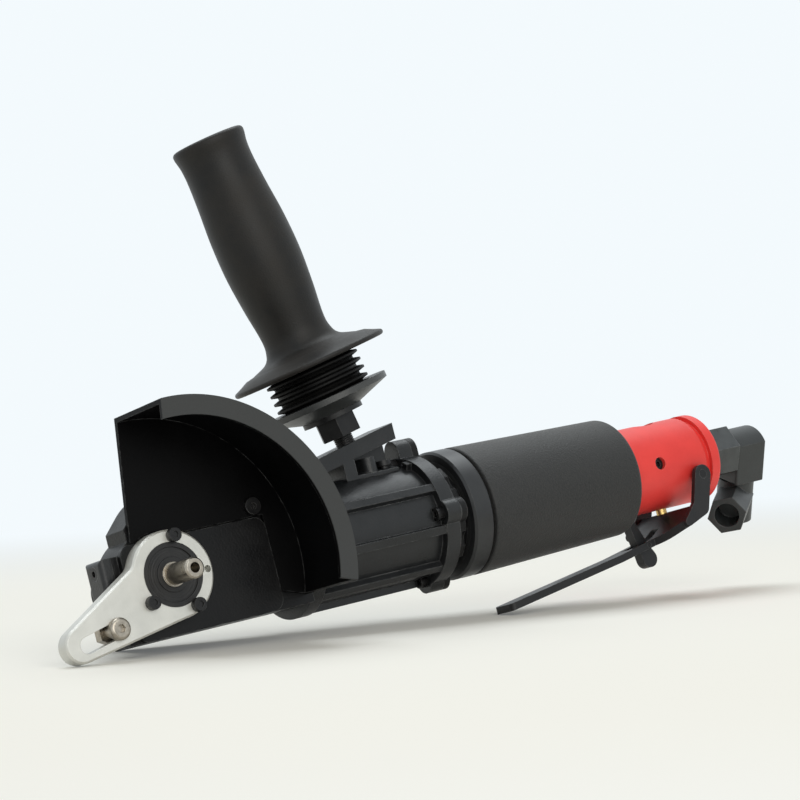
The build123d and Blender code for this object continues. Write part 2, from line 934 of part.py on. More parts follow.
# Ribbed gear housing with four screw lugs on its rear flange, the top one drawn up to an ear
lug_step = 360 / lug_count
lug_places = [polar(lug_circle, lug_first_angle + index * lug_step) for index in range(lug_count)]
bracket_screw_x = bracket_front + bracket_screw_lead
bracket_base_radius = housing_radius + bracket_base
bracket_screw_top = sqrt(bracket_base_radius**2 - (bracket_screw_side - m4_head_radius) ** 2)
bracket_screw_places = ((bracket_screw_x, -bracket_screw_side), (bracket_screw_x, bracket_screw_side))
bracket_screw_length = bracket_screw_top - ring_gear_radius - seat_fit
with BuildPart() as gear_housing:
    with BuildSketch(across(head_rear)):
        Circle(housing_radius)
        with PolarLocations(housing_radius, rib_count, start_angle=rib_first_angle):
            Rectangle(2 * rib_height, rib_width)
    extrude(amount=housing_length)
    with BuildSketch(across(head_rear)):
        Circle(flange_radius)
    extrude(amount=front_flange_length)
    with BuildSketch(across(rear_flange_front)):
        Circle(flange_radius)
        with Locations(*lug_places):
            Circle(lug_radius)
        with Locations((0, lug_circle + ear_rise / 2)):
            SlotCenterToCenter(ear_rise, 2 * lug_radius, rotation=90)
    extrude(amount=rear_flange_length)
    with BuildSketch(across(bracket_front)):
        with Locations((0, rib_radius)):
            Rectangle(2 * bracket_seat_half_width, rib_radius)
        Circle(housing_radius, mode=Mode.SUBTRACT)
    extrude(amount=bracket_length, mode=Mode.SUBTRACT)
    with BuildSketch(across(rear_flange_front)):
        with Locations(*lug_places):
            Circle(m3_head_radius + body_gap)
    extrude(amount=-m3_head_height - body_gap, mode=Mode.SUBTRACT)
    with BuildSketch(across(head_rear)):
        Circle(carrier_bearing_radius + seat_fit)
    extrude(amount=housing_length, mode=Mode.SUBTRACT)
    with BuildSketch(across(carrier_chamber_front)):
        Circle(ring_gear_radius + seat_fit)
    extrude(amount=housing_rear - carrier_chamber_front, mode=Mode.SUBTRACT)
    with BuildSketch(across(rear_flange_front)):
        with Locations(*lug_places):
            Circle(m3_radius + seat_fit)
    extrude(amount=rear_flange_length, mode=Mode.SUBTRACT)
    with BuildSketch(across(housing_spigot_front)):
        Circle(pinion_bearing_radius)
        Circle(pinion_bearing_radius - housing_spigot_wall, mode=Mode.SUBTRACT)
    extrude(amount=housing_spigot_length)
    with BuildSketch(across(head_rear)):
        Circle(carrier_bearing_radius + seat_fit)
        Circle(pinion_bearing_radius - housing_spigot_wall, mode=Mode.SUBTRACT)
    extrude(amount=front_flange_length)
    add(
        rods(
            Plane.XY.offset(bracket_screw_top), bracket_screw_places,
            m4_radius + seat_fit, -bracket_screw_length,
        ),
        mode=Mode.SUBTRACT,
    )
housing_screws = socket_screws(
    Plane(origin=(rear_flange_front, 0, 0), x_dir=(0, -1, 0), z_dir=(-1, 0, 0)),
    [(-y, z) for y, z in lug_places],
    m3_radius,
    rear_flange_length + adapter_flange_length,
    m3_head_radius,
    m3_head_height,
    socket_radius,
)

# Motor adapter: screw flange, scalloped rim, groove and a spigot on each side
with BuildPart() as motor_adapter:
    with BuildSketch(across(housing_rear)):
        Circle(adapter_radius)
        with Locations(*lug_places):
            Circle(lug_radius)
        with Locations((0, lug_circle + ear_rise / 2)):
            SlotCenterToCenter(ear_rise, 2 * lug_radius, rotation=90)
    extrude(amount=adapter_flange_length)
    with BuildSketch(across(housing_rear + adapter_flange_length)):
        Circle(adapter_radius)
        with PolarLocations(adapter_radius + scallop_radius - scallop_depth, scallop_count):
            Circle(scallop_radius, mode=Mode.SUBTRACT)
    extrude(amount=adapter_length - adapter_flange_length - adapter_groove_length)
    with BuildSketch(across(adapter_rear - adapter_groove_length)):
        Circle(adapter_radius - adapter_groove_depth)
    extrude(amount=adapter_groove_length)
    with BuildSketch(across(adapter_rear)):
        Circle(insert_radius)
    extrude(amount=adapter_spigot_length)
    with BuildSketch(across(ring_gear_rear)):
        Circle(ring_gear_radius)
        Circle(ring_tip, mode=Mode.SUBTRACT)
    extrude(amount=adapter_front_spigot)
    with BuildSketch(across(housing_rear)):
        Circle(rotor_bearing_bore + shaft_room)
    extrude(amount=adapter_length + adapter_spigot_length, mode=Mode.SUBTRACT)
    with BuildSketch(across(housing_rear)):
        with Locations(*lug_places):
            Circle(m3_radius + seat_fit)
    extrude(amount=adapter_flange_length, mode=Mode.SUBTRACT)

# Handle bracket: a raked plate on a post, a cross wall and a web, with a base curved to the housing
rake_slope = tan(radians(handle_rake))
bracket_rear = bracket_front + bracket_length
bracket_rear_height = bracket_front_height + bracket_length * rake_slope
post_front = bracket_front + bracket_post_lead
post_rear = post_front + bracket_post
pillar_x = bracket_front + pillar_lead
base_rear = bracket_rear - bracket_heel
stud_foot = (bracket_front + handle_lead, 0, bracket_front_height + handle_lead * rake_slope)
rake_out = (cos(radians(handle_rake)), 0, sin(radians(handle_rake)))
rake_up = (-sin(radians(handle_rake)), 0, cos(radians(handle_rake)))
handle_plane = Plane(origin=stud_foot, x_dir=rake_out, z_dir=rake_up)
handle_section = Plane(origin=stud_foot, x_dir=rake_out, z_dir=(0, -1, 0))
handle_axis = Axis(stud_foot, rake_up)
with BuildPart() as handle_bracket:
    with BuildSketch(facing(-bracket_half_width)):
        with BuildLine():
            Polyline(
                (bracket_front, bracket_front_height - bracket_plate),
                (bracket_front, bracket_front_height),
                (bracket_rear, bracket_rear_height),
                (bracket_rear, bracket_rear_height - bracket_plate),
                close=True,
            )
        make_face()
    extrude(amount=2 * bracket_half_width)
    with BuildSketch(Plane.XY):
        with Locations(((post_front + post_rear) / 2, 0)):
            Rectangle(bracket_post, 2 * bracket_half_width)
        with Locations((pillar_x, bracket_screw_side), (pillar_x, -bracket_screw_side)):
            Circle(pillar_radius)
        with Locations((pillar_x, 0)):
            Rectangle(2 * pillar_radius, 2 * bracket_screw_side)
    extrude(amount=bracket_front_height - bracket_plate / 2)
    with BuildSketch(facing(-bracket_web / 2)):
        with BuildLine():
            Polyline(
                (post_front, 0),
                (post_front, bracket_front_height - bracket_plate / 2),
                (base_rear, bracket_rear_height - bracket_plate),
                (base_rear, 0),
                close=True,
            )
        make_face()
    extrude(amount=bracket_web)
    with BuildSketch(across(post_front)):
        Circle(bracket_base_radius)
        with Locations((0, bracket_base_radius)):
            Rectangle(2 * bracket_half_width, 2 * bracket_base_radius, mode=Mode.INTERSECT)
    extrude(amount=base_rear - post_front)
    with BuildSketch(across(bracket_front)):
        Circle(housing_radius + seat_fit)
    extrude(amount=bracket_length, mode=Mode.SUBTRACT)
    with BuildSketch(handle_plane):
        Circle(stud_radius + seat_fit)
    extrude(amount=-stud_sink, mode=Mode.SUBTRACT)
    add(
        rods(
            Plane.XY.offset(bracket_screw_top), bracket_screw_places,
            m4_head_radius + body_gap, bracket_base,
        ),
        mode=Mode.SUBTRACT,
    )
    add(
        rods(
            Plane.XY.offset(bracket_screw_top), bracket_screw_places,
            m4_radius + seat_fit, -bracket_screw_length,
        ),
        mode=Mode.SUBTRACT,
    )
bracket_screws = socket_screws(
    Plane.XY.offset(bracket_screw_top), bracket_screw_places, m4_radius, bracket_screw_length,
    m4_head_radius, m4_head_height, socket_radius,
)

# Side handle: stud, lock nut, washer, damper plate, ribbed rubber damper, core and grip
nut_foot = stud_show
washer_foot = nut_foot + nut_height
damper_plate_foot = washer_foot + washer_thickness
damper_disc_foot = damper_plate_foot + damper_plate_cone
damper_foot = damper_disc_foot + damper_plate_thickness
grip_foot = damper_foot + damper_length
stud_bore = stud_radius + seat_fit
with BuildPart() as handle_stud:
    with BuildSketch(handle_plane.offset(-stud_sink)):
        Circle(stud_radius)
    extrude(amount=stud_sink + stud_top)
with BuildPart() as lock_nut:
    with BuildSketch(handle_plane.offset(nut_foot)):
        RegularPolygon(nut_size, 6, major_radius=False)
        Circle(stud_bore, mode=Mode.SUBTRACT)
    extrude(amount=nut_height)
handle_washer = ring(handle_plane.offset(washer_foot), washer_radius, stud_bore, washer_thickness)
damper_plate = turned(
    handle_section,
    handle_axis,
    [
        (stud_bore, damper_plate_foot),
        (washer_radius, damper_plate_foot),
        (damper_plate_radius, damper_disc_foot),
        (damper_plate_radius, damper_foot),
        (stud_bore, damper_foot),
    ],
)
rib_pitch = damper_length / damper_ribs
damper_outline = []
for index in range(damper_ribs):
    rib_foot = damper_foot + index * rib_pitch
    damper_outline.append((damper_valley_radius, rib_foot))
    damper_outline.append((damper_radius, rib_foot + damper_rib_flank))
    damper_outline.append((damper_radius, rib_foot + rib_pitch - damper_rib_flank))
with BuildPart() as handle_damper:
    with BuildSketch(handle_section):
        with BuildLine():
            Polyline(
                (stud_bore, damper_foot),
                *damper_outline,
                (damper_valley_radius, grip_foot),
                (stud_bore, grip_foot),
                close=True,
            )
        make_face()
    revolve(axis=handle_axis)
core_top = grip_foot + core_length
with BuildPart() as handle_core:
    with BuildSketch(handle_plane.offset(grip_foot)):
        Circle(core_radius)
    extrude(amount=core_length)
    with BuildSketch(handle_plane.offset(grip_foot)):
        Circle(stud_bore)
    extrude(amount=stud_top - grip_foot, mode=Mode.SUBTRACT)
grip_top = grip_foot + grip_length
core_bore = core_radius + seat_fit
with BuildPart() as handle_grip:
    with BuildSketch(handle_section):
        with BuildLine():
            flange_top = grip_foot + grip_flange_thickness
            root = (grip_root_radius, flange_top + grip_flange_cone)
            crown = (grip_end_radius, grip_top - grip_end_edge)
            Polyline(
                (core_bore, grip_foot),
                (grip_flange_radius, grip_foot),
                (grip_flange_radius, flange_top),
                root,
            )
            Spline(
                root,
                (grip_waist_radius, grip_foot + grip_waist_place),
                (grip_belly_radius, grip_foot + grip_belly_place),
                (grip_neck_radius, grip_foot + grip_neck_place),
                crown,
            )
            Polyline(
                crown,
                (grip_end_radius - grip_end_edge, grip_top),
                (grip_end_recess, grip_top),
                (grip_end_recess, grip_top - grip_end_recess_depth),
                (0, grip_top - grip_end_recess_depth),
                (0, core_top + seat_fit),
                (core_bore, core_top + seat_fit),
                (core_bore, grip_foot),
            )
        make_face()
    revolve(axis=handle_axis)

# Motor: collar ring, tube, foam sleeve, end plates, liner, rotor with vanes, bearings
with BuildPart() as collar_ring:
    with BuildSketch(across(adapter_rear)):
        Circle(collar_radius)
        Circle(tube_radius + seat_fit, mode=Mode.SUBTRACT)
    extrude(amount=collar_length)
    collar_rims = collar_ring.edges().filter_by(GeomType.CIRCLE).group_by(SortBy.RADIUS)[-1]
    chamfer(collar_rims, length=collar_edge)
motor_tube = ring(across(adapter_rear), tube_radius, tube_bore, tube_rear - adapter_rear)
with BuildPart() as grip_sleeve:
    add(
        turned(
            Plane.XZ,
            Axis.X,
            [
                (sleeve_front, tube_radius + seat_fit),
                (sleeve_front, sleeve_front_radius),
                (sleeve_rear, sleeve_rear_radius),
                (sleeve_rear, tube_radius + seat_fit),
            ],
        )
    )
    for sleeve_end, end_round in ((0, sleeve_front_round), (-1, sleeve_end_round)):
        end_edges = grip_sleeve.faces().sort_by(Axis.X)[sleeve_end].edges()
        fillet(end_edges.sort_by(SortBy.RADIUS)[-1], radius=end_round)
bearing_pocket = rotor_bearing_radius + seat_fit
shaft_hole = rotor_bearing_bore + shaft_room / 2
with BuildPart() as front_end_plate:
    with BuildSketch(across(front_plate_front)):
        Circle(insert_radius)
        Circle(shaft_hole, mode=Mode.SUBTRACT)
    extrude(amount=end_plate_length)
    with BuildSketch(across(front_plate_front)):
        Circle(bearing_pocket)
    extrude(amount=rotor_bearing_width, mode=Mode.SUBTRACT)
with BuildPart() as rear_end_plate:
    with BuildSketch(across(liner_rear)):
        Circle(insert_radius)
        Circle(shaft_hole, mode=Mode.SUBTRACT)
    extrude(amount=end_plate_length)
    with BuildSketch(across(rear_plate_rear)):
        Circle(bearing_pocket)
    extrude(amount=-rotor_bearing_width, mode=Mode.SUBTRACT)
with BuildPart() as rotor_bearings:
    for place in (front_plate_front, rear_plate_rear - rotor_bearing_width):
        add(bearing(across(place), rotor_bearing_radius, rotor_bearing_bore, rotor_bearing_width))
with BuildPart() as cylinder_liner:
    with BuildSketch(across(liner_front)):
        Circle(insert_radius)
        with Locations((0, liner_offset)):
            Circle(liner_bore, mode=Mode.SUBTRACT)
    extrude(amount=liner_length)
rotor_front = liner_front + rotor_gap
rotor_length = liner_length - 2 * rotor_gap
vane_root = rotor_radius - vane_slot_depth
with BuildPart() as rotor:
    add(
        turned(
            Plane.XZ,
            Axis.X,
            shaft_outline(
                planet_front,
                (
                    (planet_front + planet_length, sun_bore),
                    (rotor_front, rotor_bearing_bore),
                    (rotor_front + rotor_length, rotor_radius),
                    (rear_plate_rear - journal_lead, rotor_bearing_bore),
                ),
            ),
        )
    )
    with BuildSketch(across(rotor_front)):
        with PolarLocations(rotor_radius, vane_count):
            Rectangle(2 * vane_slot_depth, vane_thickness + 2 * run_fit)
    extrude(amount=rotor_length, mode=Mode.SUBTRACT)
with BuildPart() as rotor_vanes:
    with BuildSketch(across(rotor_front)):
        with PolarLocations((rotor_radius + vane_root) / 2, vane_count):
            Rectangle(vane_slot_depth - 2 * run_fit, vane_thickness)
    extrude(amount=rotor_length)

# Red valve housing with the throttle valve in a cross bore
plug_top = valve_housing_radius - valve_plug_sink
pin_bore = valve_pin_radius + run_fit
rim_front = valve_rear - valve_rim_length
valve_rim_radius = valve_housing_radius + valve_rim_rise
set_screw_x = valve_front + set_screw_lead
set_screw_depth = set_screw_sink + set_screw_length
with BuildPart() as valve_housing:
    with BuildSketch(across(rear_plate_rear)):
        Circle(insert_radius)
    extrude(amount=valve_front - rear_plate_rear)
    with BuildSketch(across(valve_front)):
        Circle(valve_housing_radius)
    extrude(amount=valve_housing_length)
    with BuildSketch(across(rim_front)):
        Circle(valve_rim_radius)
    extrude(amount=valve_rim_length)
    fillet(valve_housing.faces().sort_by(Axis.X)[-1].edges(), radius=valve_rim_round)
    with BuildSketch(across(rim_front - valve_groove_width)):
        Circle(valve_rim_radius)
        Circle(valve_housing_radius - valve_groove_depth, mode=Mode.SUBTRACT)
    extrude(amount=valve_groove_width, mode=Mode.SUBTRACT)
    with BuildSketch(across(inlet_front)):
        Circle(inlet_thread_radius + seat_fit)
    extrude(amount=inlet_thread_length, mode=Mode.SUBTRACT)
    with BuildSketch(across(valve_x)):
        Circle(inlet_bore)
    extrude(amount=inlet_front - valve_x, mode=Mode.SUBTRACT)
    with BuildSketch(Plane.XY.offset(valve_chamber_floor)):
        with Locations((valve_x, 0)):
            Circle(valve_chamber_radius + seat_fit)
    extrude(amount=valve_housing_radius - valve_chamber_floor, mode=Mode.SUBTRACT)
    with BuildSketch(Plane.XY.offset(valve_chamber_floor)):
        with Locations((valve_x, 0)):
            Circle(pin_bore)
    extrude(amount=-valve_housing_radius, mode=Mode.SUBTRACT)
    with BuildSketch(across(rear_plate_rear)):
        with Locations((0, -air_way_drop)):
            Circle(air_way_radius)
    extrude(amount=valve_x - rear_plate_rear, mode=Mode.SUBTRACT)
    for hole_start in (valve_housing_radius - pivot_depth, -valve_housing_radius):
        with BuildSketch(facing(hole_start)):
            with Locations(from_pivot((0, 0))):
                Circle(pivot_radius + seat_fit)
        extrude(amount=pivot_depth, mode=Mode.SUBTRACT)
    with BuildSketch(facing(valve_housing_radius)):
        with Locations((set_screw_x, 0)):
            Circle(set_screw_radius + seat_fit)
    extrude(amount=-set_screw_depth, mode=Mode.SUBTRACT)
with BuildPart() as set_screw:
    with BuildSketch(facing(valve_housing_radius - set_screw_depth)):
        with Locations((set_screw_x, 0)):
            Circle(set_screw_radius)
    extrude(amount=set_screw_length)
    with BuildSketch(facing(valve_housing_radius - set_screw_sink)):
        with Locations((set_screw_x, 0)):
            RegularPolygon(socket_radius, 6)
    extrude(amount=-socket_depth, mode=Mode.SUBTRACT)
valve_plane = Plane(origin=(valve_x, 0, valve_chamber_floor))
valve_seat = ring(valve_plane, valve_chamber_radius, valve_seat_bore, valve_seat_height)
with BuildPart() as valve_plug:
    with BuildSketch(valve_plane.offset(valve_plug_foot - valve_chamber_floor)):
        Circle(valve_chamber_radius)
    extrude(amount=plug_top - valve_plug_foot)
    with BuildSketch(valve_plane.offset(plug_top - valve_chamber_floor)):
        RegularPolygon(2 * socket_radius, 6)
    extrude(amount=-2 * socket_depth, mode=Mode.SUBTRACT)
lever_slope = (lever_heel[1] - lever_knee[1]) / (lever_heel[0] - lever_knee[0])
pin_heel = valve_x - pivot_x + valve_pin_radius - lever_heel[0]
lever_top = lever_sheet * hypot(1, lever_slope) / 2
lever_top_at_pin = lever_heel[1] - pivot_drop + pin_heel * lever_slope + lever_top
poppet_foot = valve_seat_top + run_fit
with BuildPart() as valve_pin:
    with BuildSketch(Plane(origin=(valve_x, 0, lever_top_at_pin + body_gap))):
        Circle(valve_pin_radius)
    extrude(amount=poppet_foot - lever_top_at_pin - body_gap)
    with BuildSketch(Plane(origin=(valve_x, 0, poppet_foot))):
        Circle(poppet_radius)
    extrude(amount=poppet_height)
    chamfer(valve_pin.edges().group_by(Axis.Z)[0], length=body_gap)
    chamfer(valve_pin.edges().group_by(Axis.Z)[-1], length=poppet_edge)
spring_foot = poppet_foot + poppet_height
spring_height = valve_plug_foot - spring_foot
spring_rise = spring_height - 2 * spring_wire_radius - 2 * run_fit
with BuildPart() as valve_spring:
    with BuildLine() as coil:
        Helix(
            pitch=spring_rise / spring_turns,
            height=spring_rise,
            radius=spring_radius,
            center=(valve_x, 0, spring_foot + spring_wire_radius + run_fit),
        )
    with BuildSketch(Plane(origin=coil.line @ 0, z_dir=coil.line % 0)):
        Circle(spring_wire_radius)
    sweep()

# Throttle lever: bent strip with two fork arms, and the pins that it swings on
lever_points = [from_pivot(offset) for offset in (lever_heel, lever_knee, lever_bend, lever_tip)]
lever_low = lever_points[-1][1] - 2 * lever_sheet
tip_x = lever_points[-1][0]
latch_slope = (lever_knee[1] - lever_bend[1]) / (lever_knee[0] - lever_bend[0])
latch_drop = lever_knee[1] + (-latch_lead - lever_knee[0]) * latch_slope
latch_x, latch_z = from_pivot((-latch_lead, latch_drop))
fork_toe = (-lever_shoulder_rear, lever_heel[1] - (lever_shoulder_rear + lever_heel[0]) * lever_slope)
fork_runs = (
    ((0, 0), fork_eye_radius, lever_heel, fork_foot_radius),
    (lever_heel, fork_foot_radius, fork_toe, fork_toe_radius),
)
with BuildPart() as throttle_lever:
    with BuildSketch(facing(0)):
        with BuildLine():
            FilletPolyline(*lever_points, radius=lever_bend_radius)
        trace(line_width=lever_sheet)
    extrude(amount=fork_outer, both=True)
    with BuildSketch(Plane.XY.offset(lever_low)) as lever_plan:
        Polygon(
            (tip_x, -lever_half_width),
            (pivot_x - lever_shoulder_front, -lever_half_width),
            (pivot_x - lever_shoulder_rear, -fork_outer),
            (valve_rear, -fork_outer),
            (valve_rear, fork_outer),
            (pivot_x - lever_shoulder_rear, fork_outer),
            (pivot_x - lever_shoulder_front, lever_half_width),
            (tip_x, lever_half_width),
            align=None,
        )
        fillet(lever_plan.vertices().group_by(Axis.X)[0], radius=lever_tip_round)
    extrude(amount=-lever_low, mode=Mode.INTERSECT)
    for arm_start in (-fork_outer, fork_inner):
        for upper, upper_radius, lower, lower_radius in fork_runs:
            with BuildSketch(facing(arm_start)):
                with Locations(from_pivot(upper)):
                    Circle(upper_radius)
                with Locations(from_pivot(lower)):
                    Circle(lower_radius)
                make_hull()
            extrude(amount=fork_thickness)
    with BuildSketch(facing(-fork_outer)):
        with Locations(from_pivot((0, 0))):
            Circle(pivot_radius + run_fit)
        with Locations((latch_x, latch_z)):
            Circle(latch_pin_radius + seat_fit)
    extrude(amount=2 * fork_outer, mode=Mode.SUBTRACT)
    slot_middle_x = latch_x + (latch_slot_rear - latch_slot_front) / 2
    with BuildSketch(Plane.XY.offset(lever_low)):
        with Locations((slot_middle_x, 0)):
            Rectangle(latch_slot_front + latch_slot_rear, 2 * (latch_half_width + body_gap))
    extrude(amount=-lever_low, mode=Mode.SUBTRACT)
with BuildPart() as lever_pivots:
    for pin_start in (valve_housing_radius - pivot_depth, -fork_outer):
        with BuildSketch(facing(pin_start)):
            with Locations(from_pivot((0, 0))):
                Circle(pivot_radius)
        extrude(amount=fork_outer - valve_housing_radius + pivot_depth)

# Safety latch that folds down as the lever is pressed
latch_leg_end = (-latch_leg * sin(radians(latch_leg_lean)), latch_leg * cos(radians(latch_leg_lean)))
latch_tab_end = (latch_tab * sin(radians(latch_tab_lean)), -latch_tab * cos(radians(latch_tab_lean)))
with BuildPart() as safety_latch:
    for latch_end, end_radius in ((latch_leg_end, latch_leg_radius), (latch_tab_end, latch_tab_radius)):
        with BuildSketch(facing(-latch_half_width)):
            with Locations((latch_x, latch_z)):
                Circle(latch_hub_radius)
            with Locations((latch_x + latch_end[0], latch_z + latch_end[1])):
                Circle(end_radius)
            make_hull()
        extrude(amount=2 * latch_half_width)
    with BuildSketch(facing(-latch_half_width)):
        with Locations((latch_x, latch_z)):
            Circle(latch_pin_radius + run_fit)
    extrude(amount=2 * latch_half_width, mode=Mode.SUBTRACT)
latch_pin = rods(
    facing(-latch_pin_half_length), [(latch_x, latch_z)], latch_pin_radius, 2 * latch_pin_half_length
)

# Air inlet: bushing in the valve housing, swivel body, its seal and the elbow with the hose port.
# The swivel and its elbow are drawn hanging straight down and turned aside when they are laid down.
with BuildPart() as inlet_bushing:
    with BuildSketch(across(inlet_front)):
        Circle(inlet_thread_radius)
    extrude(amount=inlet_thread_length)
    with BuildSketch(across(valve_rear)):
        RegularPolygon(inlet_hex, 6, major_radius=False)
    extrude(amount=inlet_hex_length)
    with BuildSketch(across(hex_rear)):
        Circle(inlet_stem_radius)
    extrude(amount=inlet_stem_length)
    with BuildSketch(across(inlet_front)):
        Circle(inlet_bore)
    extrude(amount=inlet_thread_length + inlet_hex_length + inlet_stem_length, mode=Mode.SUBTRACT)
seal_outer = inlet_stem_radius + seal_section
with BuildPart() as swivel_body:
    with BuildSketch(across(swivel_front)):
        with BuildLine():
            Polyline(
                (-swivel_half_depth, swivel_shoulder),
                (-swivel_half_depth, swivel_bottom),
                (swivel_half_depth, swivel_bottom),
                (swivel_half_depth, swivel_shoulder),
            )
            ThreePointArc(
                (swivel_half_depth, swivel_shoulder),
                (0, swivel_top),
                (-swivel_half_depth, swivel_shoulder),
            )
        make_face()
    extrude(amount=swivel_width)
    fillet(swivel_body.faces().filter_by(Axis.X).edges(), radius=swivel_edge)
    with BuildSketch(across(swivel_front)):
        Circle(inlet_stem_radius + run_fit)
    extrude(amount=inlet_stem_length, mode=Mode.SUBTRACT)
    with BuildSketch(across(swivel_front + seal_lead)):
        Circle(seal_outer)
    extrude(amount=seal_section, mode=Mode.SUBTRACT)
    with BuildSketch(Plane(origin=(swivel_x, 0, swivel_bottom))):
        Circle(elbow_neck_radius + run_fit)
    extrude(amount=elbow_neck_length, mode=Mode.SUBTRACT)
    with BuildSketch(Plane(origin=(swivel_x, 0, swivel_bottom))):
        Circle(inlet_bore)
    extrude(amount=-swivel_bottom, mode=Mode.SUBTRACT)
inlet_seal = ring(
    across(swivel_front + seal_lead), seal_outer, inlet_stem_radius + run_fit, seal_section
)
aim = polar(1, elbow_aim)
port_plane = Plane(
    origin=(swivel_x + elbow_reach * aim[0], elbow_reach * aim[1], elbow_mid),
    x_dir=(-aim[1], aim[0], 0),
    z_dir=(*aim, 0),
)
with BuildPart() as swivel_elbow:
    with BuildSketch(Plane(origin=(swivel_x, 0, elbow_top - elbow_height))):
        Circle(elbow_radius)
    extrude(amount=elbow_height)
    with BuildSketch(port_plane):
        RegularPolygon(port_hex, 6, major_radius=False, rotation=port_hex_turn)
    extrude(amount=-elbow_reach)
    with BuildSketch(Plane(origin=(swivel_x, 0, elbow_top))):
        Circle(elbow_neck_radius)
    extrude(amount=elbow_neck_length)
    with BuildSketch(port_plane):
        Circle(port_radius)
    extrude(amount=-port_depth, mode=Mode.SUBTRACT)
    with BuildSketch(Plane(origin=(swivel_x, 0, elbow_mid))):
        Circle(inlet_bore)
    extrude(amount=elbow_height, mode=Mode.SUBTRACT)

# Lay the finished pieces down in the resting pose and write them
rest = (
    Location((0, 0, 0), (0, -rest_pitch, 0))
    * Location((0, 0, 0), (-rest_roll, 0, 0))
    * Location((0, spindle_step, 0))
)
pieces = {
    "gear_head": gear_head.part,
    "nose_cap": nose_cap.part,
    "nose_cap_screws": nose_cap_screws,
    "spindle": spindle.part,
    "crown_gear": crown_gear.part,
    "front_bearing": front_bearing,
    "rear_bearing": rear_bearing,
    "rear_cap": rear_cap.part,
    "support_arm": support_arm.part,
    "arm_screws": arm_screws,
    "slot_screw": slot_screw.part,
    "slot_nut": slot_nut.part,
    "wheel_guard": wheel_guard.part,
    "guard_screw": guard_screw,
    "bevel_pinion": bevel_pinion.part,
    "drive_shaft": drive_shaft,
    "pinion_bearings": pinion_bearings.part,
    "bearing_spacer": bearing_spacer,
    "carrier_bearing": carrier_bearing,
    "planet_carrier": planet_carrier.part,
    "ring_gear": ring_gear.part,
    "sun_gear": sun_gear,
    "gear_housing": gear_housing.part,
    "housing_screws": housing_screws,
    "motor_adapter": motor_adapter.part,
    "handle_bracket": handle_bracket.part,
    "bracket_screws": bracket_screws,
    "handle_stud": handle_stud.part,
    "lock_nut": lock_nut.part,
    "handle_washer": handle_washer,
    "damper_plate": damper_plate,
    "handle_damper": handle_damper.part,
    "handle_core": handle_core.part,
    "handle_grip": handle_grip.part,
    "collar_ring": collar_ring.part,
    "motor_tube": motor_tube,
    "grip_sleeve": grip_sleeve.part,
    "front_end_plate": front_end_plate.part,
    "rear_end_plate": rear_end_plate.part,
    "rotor_bearings": rotor_bearings.part,
    "cylinder_liner": cylinder_liner.part,
    "rotor": rotor.part,
    "rotor_vanes": rotor_vanes.part,
    "valve_housing": valve_housing.part,
    "set_screw": set_screw.part,
    "valve_seat": valve_seat,
    "valve_plug": valve_plug.part,
    "valve_pin": valve_pin.part,
    "valve_spring": valve_spring.part,
    "throttle_lever": throttle_lever.part,
    "lever_pivots": lever_pivots.part,
    "safety_latch": safety_latch.part,
    "latch_pin": latch_pin,
    "inlet_bushing": inlet_bushing.part,
    "swivel_body": swivel_body.part.rotate(Axis.X, swivel_turn),
    "inlet_seal": inlet_seal,
    "swivel_elbow": swivel_elbow.part.rotate(Axis.X, swivel_turn),
}
for index, gear in enumerate(planet_gears):
    pieces[f"planet_gear_{index + 1}"] = gear

os.makedirs("parts", exist_ok=True)
for label, piece in pieces.items():
    resting = piece.moved(rest)
    resting.label = label
    export_step(resting, f"parts/{label}.step")
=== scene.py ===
import json
import math

import bmesh
import bpy
from mathutils import Matrix, Vector


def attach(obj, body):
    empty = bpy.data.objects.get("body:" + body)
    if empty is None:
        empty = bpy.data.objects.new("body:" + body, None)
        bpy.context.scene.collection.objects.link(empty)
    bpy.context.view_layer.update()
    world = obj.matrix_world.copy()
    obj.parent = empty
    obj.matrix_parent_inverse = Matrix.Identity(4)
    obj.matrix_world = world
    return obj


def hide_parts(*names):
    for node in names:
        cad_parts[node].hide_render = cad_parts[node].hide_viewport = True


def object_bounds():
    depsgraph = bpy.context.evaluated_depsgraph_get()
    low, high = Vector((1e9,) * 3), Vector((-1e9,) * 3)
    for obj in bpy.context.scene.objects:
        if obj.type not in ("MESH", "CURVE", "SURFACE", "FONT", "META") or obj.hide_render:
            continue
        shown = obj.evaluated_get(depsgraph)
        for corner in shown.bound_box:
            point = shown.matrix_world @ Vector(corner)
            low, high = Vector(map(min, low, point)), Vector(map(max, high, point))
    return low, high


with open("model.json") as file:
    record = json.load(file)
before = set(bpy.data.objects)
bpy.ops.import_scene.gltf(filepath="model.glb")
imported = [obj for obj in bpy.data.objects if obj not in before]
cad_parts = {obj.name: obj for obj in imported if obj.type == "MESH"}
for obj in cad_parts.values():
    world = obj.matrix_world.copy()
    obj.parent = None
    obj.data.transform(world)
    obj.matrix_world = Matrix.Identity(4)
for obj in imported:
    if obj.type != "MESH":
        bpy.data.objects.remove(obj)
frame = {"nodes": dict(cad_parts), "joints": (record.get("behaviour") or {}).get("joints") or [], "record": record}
cad_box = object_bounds()
nodes = frame["nodes"]
record = frame["record"]
joints = {joint["name"]: joint for joint in frame["joints"]}
MM = 0.001

# The tool's own frame, read from the joints: motor along X, spindle towards -Y, side handle up
motor_way = Vector(joints["rotor_spin"]["axis"]).normalized()
spindle_way = Vector(joints["spindle_spin"]["axis"]).normalized()
rise_way = motor_way.cross(spindle_way)
tool_frame = Matrix((motor_way, spindle_way, rise_way)).transposed().to_4x4()
tool_frame.translation = Vector(joints["rotor_spin"]["pos_m"])
tool_inverse = tool_frame.inverted()
scale_mm = Matrix.Scale(MM, 4)

